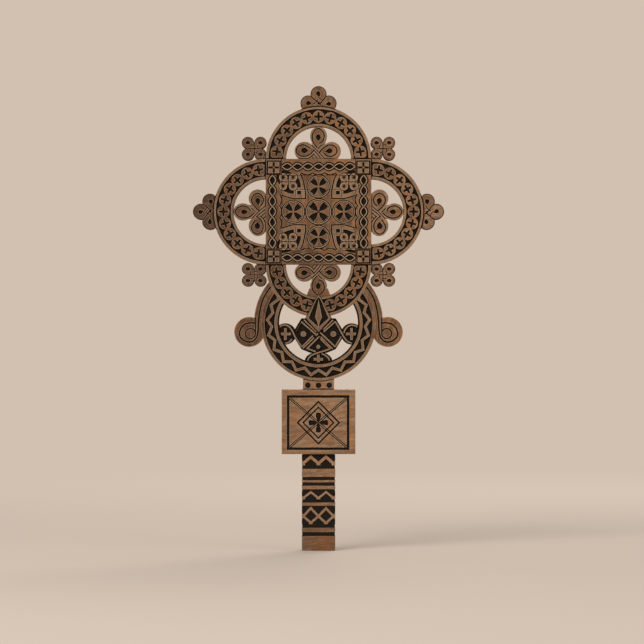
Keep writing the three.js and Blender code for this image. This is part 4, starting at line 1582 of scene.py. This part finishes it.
@dataclass(frozen=True)
class WoodFinish:
    """Old oiled wood whose carved grounds are blackened. Shade is painted on its left side and round a place below the
    head, and its lightened edges are partly painted highlight.
    """

    name: str
    light: Colour = paint(145, 106, 71)
    dark: Colour = paint(90, 60, 36)
    warm: Colour = paint(158, 104, 60)
    worn: Colour = paint(156, 130, 103)
    # tint of the random stains, and of the shade painted round a place below the head
    handled: Colour = (0.6, 0.51, 0.44)
    # tint of the shade painted on the left side
    painted_side_shade: Colour = (0.5, 0.45, 0.42)
    soot: Colour = paint(17, 9, 2)
    dusty: Colour = paint(36, 23, 11)
    singed: Colour = paint(82, 46, 18)
    figure: float = 0.16  # waves of the figure in a millimetre, across the grain
    painted_shade_strength: float = 1.0  # how strongly shade is painted: on the cross's left side, and round a place below the head
    blushing: float = 0.7
    age: float = 0.72
    roughness: float = 0.56
    # how much darker the wood is towards the foot
    foot_darkening: float = 0.0
    fibre_waves: Waves = (0.22, 3.6, 3.6)
    pore_waves: Waves = (0.5, 7.5, 7.5)
    blush_waves: Waves = (0.07, 0.16, 0.16)
    fading_waves: Waves = (0.16, 0.34, 0.34)
    stain_waves: Waves = (0.035, 0.035, 0.035)
    nick_waves: Waves = (0.55, 0.55, 0.55)
    year_rings: float = 46.0
    worn_and_highlit_edge: float = 0.0008  # metres in from an edge that are lightened: partly wear, partly painted highlight
    side_shade_span: tuple[float, float] = (-100.0, 75.0)  # from full to no painted shade on the left side, along x in millimetres
    shade_patch_middle: tuple[float, float, float] = (0.0, 0.0, 180.0)  # millimetres, the middle of a round patch of painted shade below the head
    shade_patch_reach: tuple[float, float] = (28.0, 70.0)  # from full to no painted shade, away from there
    foot_dark_height: float = 62.0

    def material(self) -> bpy.types.Material:
        """Makes the material.

        Returns:
            The new material.
        """
        made = bpy.data.materials.new(self.name)
        shader = Shader(made)
        plank = shader.node("ShaderNodeAttribute", {"attribute_name": "plank"}, output="Vector")
        tone = shader.node("ShaderNodeAttribute", {"attribute_name": "tone"}, output="Fac")
        place = shader.place()
        fibres = shader.noise(plank, self.fibre_waves, 4.0, 0.6)
        figure = shader.noise(plank, (0.017, self.figure, self.figure * 0.3), 3.0, 0.45, 0.5)
        rings = (figure * self.year_rings).sine() * 0.5 + 0.5
        pores = shader.noise(plank, self.pore_waves, 2.0, 0.5).ramp(0.6, 0.7)
        stains = shader.noise(place, self.stain_waves, 5.0, 0.6)
        nicks = shader.noise(place, self.nick_waves, 3.0, 0.65)
        blush = shader.noise(plank, self.blush_waves, 3.0, 0.55)
        fading = shader.noise(plank, self.fading_waves, 3.0, 0.6)
        # Edges found by ambient occlusion are lightened: partly wear, partly painted highlight.
        near = shader.node("ShaderNodeAmbientOcclusion", {"inside": True, "only_local": True, "samples": 8},
                           {"Distance": self.worn_and_highlit_edge}, "AO")
        edge_wear_and_highlight = (1.0 - near).ramp(0.06, 0.42)

        streaks = rings * 0.42 + fibres * 0.75 + figure * 0.3 - 0.28
        colour = shader.mix(self.dark, self.light, streaks)
        colour = shader.darken(colour, stains.ramp(0.46, 0.68) * self.age, self.handled)
        colour = shader.mix(colour, self.warm, blush.ramp(0.48, 0.65) * self.blushing)
        colour = shader.mix(colour, self.worn, fading.ramp(0.49, 0.66) * 0.45)
        colour = shader.darken(colour, pores * 0.55, (0.5, 0.42, 0.36))
        # Painted shade: darker on the left side, as though the light fell from the right.
        colour = shader.darken(colour, (1.0 - place.along("X").ramp(*self.side_shade_span)) * self.painted_shade_strength, self.painted_side_shade)
        # Painted shade: darker round a place below the head.
        reach = shader.node("ShaderNodeVectorMath", {"operation": "DISTANCE"}, {
            0: shader.stretched(place, (1.0, 0.0, 1.0)), 1: self.shade_patch_middle}, "Value")
        colour = shader.darken(colour, (1.0 - reach.ramp(*self.shade_patch_reach)) * self.painted_shade_strength * 0.6, self.handled)
        # Darker towards the foot.
        if self.foot_darkening > 0:
            darkening = (1.0 - place.along("Z").ramp(0.0, self.foot_dark_height)) * self.foot_darkening
            colour = shader.darken(colour, darkening, (0.6, 0.56, 0.53))
        # Lighter for light tones and along edges; the edge part is partly painted highlight.
        worn = ((tone * -1.0).at_least(0.0) * 0.65 + edge_wear_and_highlight * 0.75) * nicks.ramp(0.15, 0.5)
        colour = shader.mix(colour, self.worn, worn.at_most(0.85))
        colour = shader.mix(colour, self.singed, (tone + (nicks - 0.5) * 0.3).ramp(0.08, 0.48))
        blackened = (tone + (nicks - 0.5) * 0.4).ramp(0.5, 0.9)
        soot = shader.mix(self.soot, self.dusty, (nicks * 0.6 + fibres * 0.6).ramp(0.55, 0.85))
        colour = shader.mix(colour, soot, blackened)

        relief = fibres * 0.5 + rings * 0.35 - pores * 0.6 + nicks * 0.8
        roughness = (fibres * 0.16 + blackened * 0.26 + (self.roughness - 0.08)).at_most(0.95)
        shader.end_as_wood(colour, roughness, relief, strength=0.55, height=0.00022)
        return made


@dataclass(frozen=True)
class PegFinish:
    """End grain of a peg, plain or blackened."""

    name: str
    light: Colour
    dark: Colour
    roughness: float
    pore_waves: Waves = (3.5, 0.3, 3.5)
    ring_waves: Waves = (0.35, 0.05, 0.35)
    year_rings: float = 40.0

    def material(self) -> bpy.types.Material:
        """Makes the material.

        Returns:
            The new material.
        """
        made = bpy.data.materials.new(self.name)
        shader = Shader(made)
        place = shader.place()
        pores = shader.noise(place, self.pore_waves, 3.0, 0.6)
        rings = (shader.noise(place, self.ring_waves, 2.0) * self.year_rings).sine() * 0.5 + 0.5
        colour = shader.mix(self.dark, self.light, rings * 0.45 + pores * 0.8 - 0.15)
        relief = pores + rings * 0.3
        shader.end_as_wood(colour, pores * 0.2 + self.roughness, relief, strength=0.6, height=0.0002)
        return made


class Finishes:
    """Every finish of the cross, made once."""

    def __init__(self) -> None:
        """Makes the materials."""
        self.carved = Dressing(WoodFinish("carved_wood_finish").material(), Slot.CARVED)
        weathered = WoodFinish(
            "weathered_wood_finish", light=paint(153, 115, 81), dark=paint(97, 68, 45), worn=paint(160, 134, 110),
            painted_side_shade=(0.35, 0.31, 0.28), blushing=0.35, age=0.7, roughness=0.62,
        )
        self.weathered = Dressing(weathered.material(), Slot.WEATHERED)
        handled = WoodFinish(
            "handle_wood_finish", light=paint(163, 126, 93), dark=paint(116, 84, 57), worn=paint(170, 140, 112),
            figure=0.11, painted_shade_strength=0.25, age=0.35, roughness=0.5, foot_darkening=0.9,
        )
        self.handled = Dressing(handled.material(), Slot.HANDLE)
        blackened = PegFinish("blackened_peg_finish", paint(20, 15, 11), paint(9, 7, 5), 0.75)
        self.blackened = Dressing(blackened.material(), Slot.BLACKENED)
        pegs = PegFinish("tablet_peg_finish", paint(128, 95, 69), paint(84, 60, 42), 0.55)
        self.pegs = Dressing(pegs.material(), Slot.HANDLE)


# Sub-assemblies


@dataclass
class Square:
    """The middle of the head: panel, four rope rails and four corner blocks."""

    joint: Edge = Edge(0.14, 0.14)
    block_edge: Edge = Edge(0.5, 0.35, Tone.LINE)
    rope_lines: tuple[float, float, float, float] = (33.8, 33.85, 34.55, 34.6)
    rope_leans: tuple[int, int, int, int] = (1, -1, -1, 1)
    upper_blocks_lower: float = 0.5

    def build(self, finishes: Finishes) -> None:
        """Makes the nine boards.

        Args:
            finishes: What they are dressed with.
        """
        corners = Carving()  # the corner motifs run over the joints
        for turn, mirror in MIRRORED_TURNS:
            corners.extend(CornerMotif(on_head(turn, mirror)))
        panel = PanelOrnament(on_head()).extend(corners)
        CarvedPiece("centre_panel", panel, Grain(90, 1.0), self.joint).build(finishes.carved)
        for turn, side in enumerate(SIDES):
            rope = RopeOrnament(on_head(turn), middle=self.rope_lines[turn], lean=self.rope_leans[turn])
            grain = Grain(90 * (turn % 2), 2.0 + turn)
            CarvedPiece("rope_rail_" + side, rope.extend(corners), grain, self.joint).build(finishes.carved)
        for turn, corner in enumerate(("upper_right", "lower_right", "lower_left", "upper_left")):
            lower = self.upper_blocks_lower if corner.startswith("upper") else 0.0
            block = BlockOrnament(Spot(0.0, HEAD_CENTRE_Z - lower, turn))
            piece = CarvedPiece("corner_block_" + corner, block, Grain(90, 6.0 + turn), self.block_edge)
            piece.build(finishes.carved)


@dataclass
class Arches:
    """The four half rings with the knots inside them, on their crowns and between them."""

    arch_edge: Edge = Edge(0.3, 0.22, Tone.WORN)
    inner_edge: Edge = Edge(0.4, 0.3, Tone.PLAIN)
    knot_edge: Edge = Edge(0.65, 0.5, Tone.LINE)

    def build(self, finishes: Finishes) -> None:
        """Makes the arches, each with its knots, then the knots between them.

        Args:
            finishes: What they are dressed with.
        """
        for turn, side in enumerate(SIDES):
            self._arch(turn, side, finishes)
        corners = ("lower_left", "lower_right", "upper_right", "upper_left")
        for number, (name, (turn, mirror)) in enumerate(zip(corners, MIRRORED_TURNS)):
            corner = CornerKnotOrnament(on_head(turn, mirror))
            piece = CarvedPiece("corner_knot_" + name, corner, Grain(90, 20.0 + number), self.knot_edge)
            piece.build(finishes.weathered)

    def _arch(self, turn: int, side: str, finishes: Finishes) -> None:
        """Makes one arch, the knot inside it and the finial on its crown.

        Args:
            turn: How many quarter turns it stands from the top.
            side: Its side's name. The bottom arch has no finial, and its knot's tip runs on over it.
            finishes: What they are dressed with.
        """
        crowned = side != "bottom"
        arch = ArchOrnament(on_head(turn), crowned=crowned)
        knot = KnotOrnament(on_head(turn, side in ("right", "bottom")))
        if not crowned:
            arch.extend(knot)
        CarvedPiece("arch_" + side, arch, Grain(90 * (turn % 2), 10.0 + turn), self.arch_edge).build(finishes.carved)
        ground = Carving(on_head(turn))
        ground.rise(rectangle(-24, SQUARE_HALF - 1, 24, SQUARE_HALF + 27))
        outwards = 90 * (1 - turn % 2)
        inner = CarvedPiece("inner_knot_" + side, ground.extend(knot), Grain(outwards, 14.0 + turn), self.inner_edge)
        inner.build(finishes.carved)
        if crowned:
            finial = FinialOrnament(on_head(turn))
            piece = CarvedPiece("finial_" + side, finial, Grain(outwards, 17.0 + turn), self.knot_edge)
            piece.build(finishes.weathered)


@dataclass
class LowerWork:
    """The ring below the head, the scroll arms beside it, and the spearhead and woven lozenges in it."""

    light_edge: float = 0.22
    dark_edge: float = 0.45
    edge_drop_share: float = 0.7

    def build(self, finishes: Finishes) -> None:
        """Makes the five pieces.

        Args:
            finishes: What they are dressed with.
        """
        pieces = (
            ("lower_ring", RingOrnament(RING), Tone.WORN),
            ("scroll_arm_left", ScrollOrnament(RING), Tone.PLAIN),
            ("scroll_arm_right", ScrollOrnament(Spot(0.0, RING_CENTRE_Z, 0, True)), Tone.PLAIN),
            ("spearhead", SpearOrnament(RING), Tone.BLACK),
            ("woven_lozenges", WovenOrnament(RING), Tone.BLACK),
        )
        for number, (node, carving, tone) in enumerate(pieces):
            soft = self.dark_edge if tone is Tone.BLACK else self.light_edge
            edge = Edge(soft, soft * self.edge_drop_share, tone)
            CarvedPiece(node, carving, Grain(90, 24.0 + number), edge).build(finishes.carved)


@dataclass
class Stem:
    """Neck, tablet and handle, with their pegs."""

    neck_edge: Edge = Edge(0.3, 0.2, Tone.PLAIN)
    neck_line_half: float = 12.0
    neck_line_radius: float = 43.5  # of the faint line below the ring
    edge: Edge = Edge(0.7, 0.35, Tone.PLAIN)
    neck_peg_dome: float = 0.12
    tablet_peg_dome: float = 0.05
    peg_sides: int = 40
    peg_bevel: float = 0.35
    whittling: float = 0.012  # how far out of round, as a part of the radius

    def build(self, finishes: Finishes) -> None:
        """Makes the three blocks and the five pegs.

        Args:
            finishes: What they are dressed with.
        """
        neck = Carving()
        neck.groove([(x, TABLET_TOP + 0.5) for x in (-self.neck_line_half, self.neck_line_half)])
        neck.groove(arc((0.0, RING_CENTRE_Z), self.neck_line_radius, 252, 288), 0.6, tone=Tone.SMOKED)
        CarvedPiece("neck_block", neck, Grain(90, 30.0), self.neck_edge).build(finishes.handled)
        CarvedPiece("tablet", TabletOrnament(), Grain(4, 31.0), self.edge).build(finishes.handled)
        CarvedPiece("handle", HandleOrnament().carvings(), Grain(8, 32.0), self.edge).build(finishes.handled)
        for place in ("left", "centre", "right"):
            self._peg("neck_peg_" + place, finishes.blackened, self.neck_peg_dome)
        for place in ("lower", "upper"):
            self._peg("tablet_peg_" + place, finishes.pegs, self.tablet_peg_dome)

    def _peg(self, node: str, dressing: Dressing, dome: float) -> None:
        """Makes a peg whittled slightly out of round, with softened ends.

        Args:
            node: The solid that it stands for.
            dressing: Its finish; its slot is not used.
            dome: How far the middle of each end stands above its rim, in millimetres.
        """
        low, high = (np.array(corner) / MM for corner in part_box(node))
        middle, radius = (low + high) / 2, (high[0] - low[0]) / 2 + SWELL
        profile = [(0.0, low[1]), (0.6 * radius, low[1] + 0.3 * dome), (radius - self.peg_bevel, low[1] + dome),
                   (radius, low[1] + dome + self.peg_bevel)]
        profile += [(r, low[1] + high[1] - y) for r, y in reversed(profile)]
        turns = [2 * math.pi * k / self.peg_sides for k in range(self.peg_sides)]
        points = []
        for r, y in profile:
            for turn in turns:
                whittled = r * (1 - self.whittling * (1 + math.sin(5 * turn + middle[0])))
                points.append((middle[0] + whittled * math.cos(turn), y, middle[2] + whittled * math.sin(turn)))
        faces = []
        for a in range(0, (len(profile) - 1) * self.peg_sides, self.peg_sides):
            b = a + self.peg_sides
            for k in range(self.peg_sides):
                after = (k + 1) % self.peg_sides
                faces.append((a + k, b + k, b + after, a + after))
        mesh = PieceMesh()
        mesh.add(points, faces, [Tone.PLAIN.value] * len(faces))
        mesh.make("whittled_" + node, node, Grain(), dressing)


# Stage


@dataclass(frozen=True)
class Stage:
    """A plain pale floor that meets the background without a line, three soft lamps and the camera."""

    pale: Colour = paint(210, 193, 177)
    floor_radius: float = 4.0
    floor_sides: int = 64
    even_from: float = 0.45
    even_to: float = 1.5
    sky: float = 0.5
    distance: float = 2.69
    lens: float = 200.0
    aim: tuple[float, float] = (0.0026, 0.17155)  # where the camera looks, x and z in metres
    lit: tuple[float, float, float] = (0.0, 0.0, 0.18)  # where the lamps look
    paper: float = 0.905

    def build(self) -> None:
        """Makes the stage."""
        self._world()
        self._floor()
        self._lamp("key_lamp", place=(-1.1, -1.7, 1.5), size=1.3, power=36.0)
        self._lamp("fill_lamp", place=(1.7, -1.5, 0.7), size=1.4, power=9.0)
        self._lamp("back_lamp", place=(0.6, 1.9, 1.3), size=1.4, power=26.0)
        camera = bpy.data.cameras.new("photo_camera")
        camera.lens = self.lens
        camera.clip_start, camera.clip_end = 0.1, 50.0
        stand = linked("photo_camera", camera)
        stand.location = (self.aim[0], -self.distance, self.aim[1])
        stand.rotation_euler = (math.radians(90), 0.0, 0.0)
        bpy.context.scene.camera = stand
        bpy.context.scene.view_settings.view_transform = "Standard"

    def _seen(self, shader: Shader) -> Signal:
        """Tells the rays that see the background from those that light the object.

        Args:
            shader: The material or world under construction.

        Returns:
            1 for rays that see the background, otherwise 0.
        """
        rays = [shader.node("ShaderNodeLightPath", output=name) for name in
                ("Is Camera Ray", "Is Glossy Ray", "Is Transmission Ray")]
        return rays[0].at_least(rays[1]).at_least(rays[2])

    def _world(self) -> None:
        """Makes the even light from all round and the pale background."""
        world = bpy.data.worlds.new("studio")
        bpy.context.scene.world = world
        shader = Shader(world)
        colour = shader.mix((self.sky, self.sky, self.sky), self.pale, self._seen(shader))
        light = shader.node("ShaderNodeBackground", {}, {"Color": colour, "Strength": 1.0})
        shader.node("ShaderNodeOutputWorld", {}, {"Surface": light})

    def _floor(self) -> None:
        """Makes the round floor."""
        mesh = bpy.data.meshes.new("floor")
        turns = [2 * math.pi * k / self.floor_sides for k in range(self.floor_sides)]
        rim = [(self.floor_radius * math.cos(turn), self.floor_radius * math.sin(turn), 0.0) for turn in turns]
        mesh.from_pydata(rim, [], [list(range(self.floor_sides))])
        material = bpy.data.materials.new("floor_paper")
        shader = Shader(material)
        place = shader.node("ShaderNodeTexCoord", output="Object")
        far = shader.node("ShaderNodeVectorMath", {"operation": "LENGTH"}, {0: place}, "Value")
        sheet = tuple(c * self.paper for c in self.pale)
        paper = shader.node("ShaderNodeBsdfDiffuse", {}, {"Color": (*sheet, 1.0)})
        even = shader.node("ShaderNodeEmission", {}, {"Color": (*self.pale, 1.0), "Strength": 1.0})
        amount = far.ramp(self.even_from, self.even_to) * self._seen(shader)
        shader.node("ShaderNodeOutputMaterial", {}, {"Surface": shader.node("ShaderNodeMixShader", {}, {
            0: amount, 1: paper, 2: even})})
        mesh.materials.append(material)
        linked("floor", mesh)

    def _lamp(self, name: str, place: tuple[float, float, float], size: float, power: float) -> None:
        """Makes a soft square lamp that looks at the cross.

        Args:
            name: Its name.
            place: Where it stands, in metres.
            size: Its side, in metres.
            power: Its power in watts.
        """
        light = bpy.data.lights.new(name, "AREA")
        light.size = size
        light.energy = power
        lamp = linked(name, light)
        lamp.location = place
        lamp.rotation_euler = (Vector(self.lit) - Vector(place)).to_track_quat("-Z", "Y").to_euler()


def main() -> None:
    """Builds the cross, sub-assembly by sub-assembly, and its stage."""
    logging.basicConfig(level=logging.INFO, format="%(message)s")
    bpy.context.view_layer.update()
    finishes = Finishes()
    for assembly in (Square(), Arches(), LowerWork(), Stem()):
        log.info("%s", type(assembly).__name__)
        assembly.build(finishes)
    Stage().build()


if __name__ == "__main__":
    main()
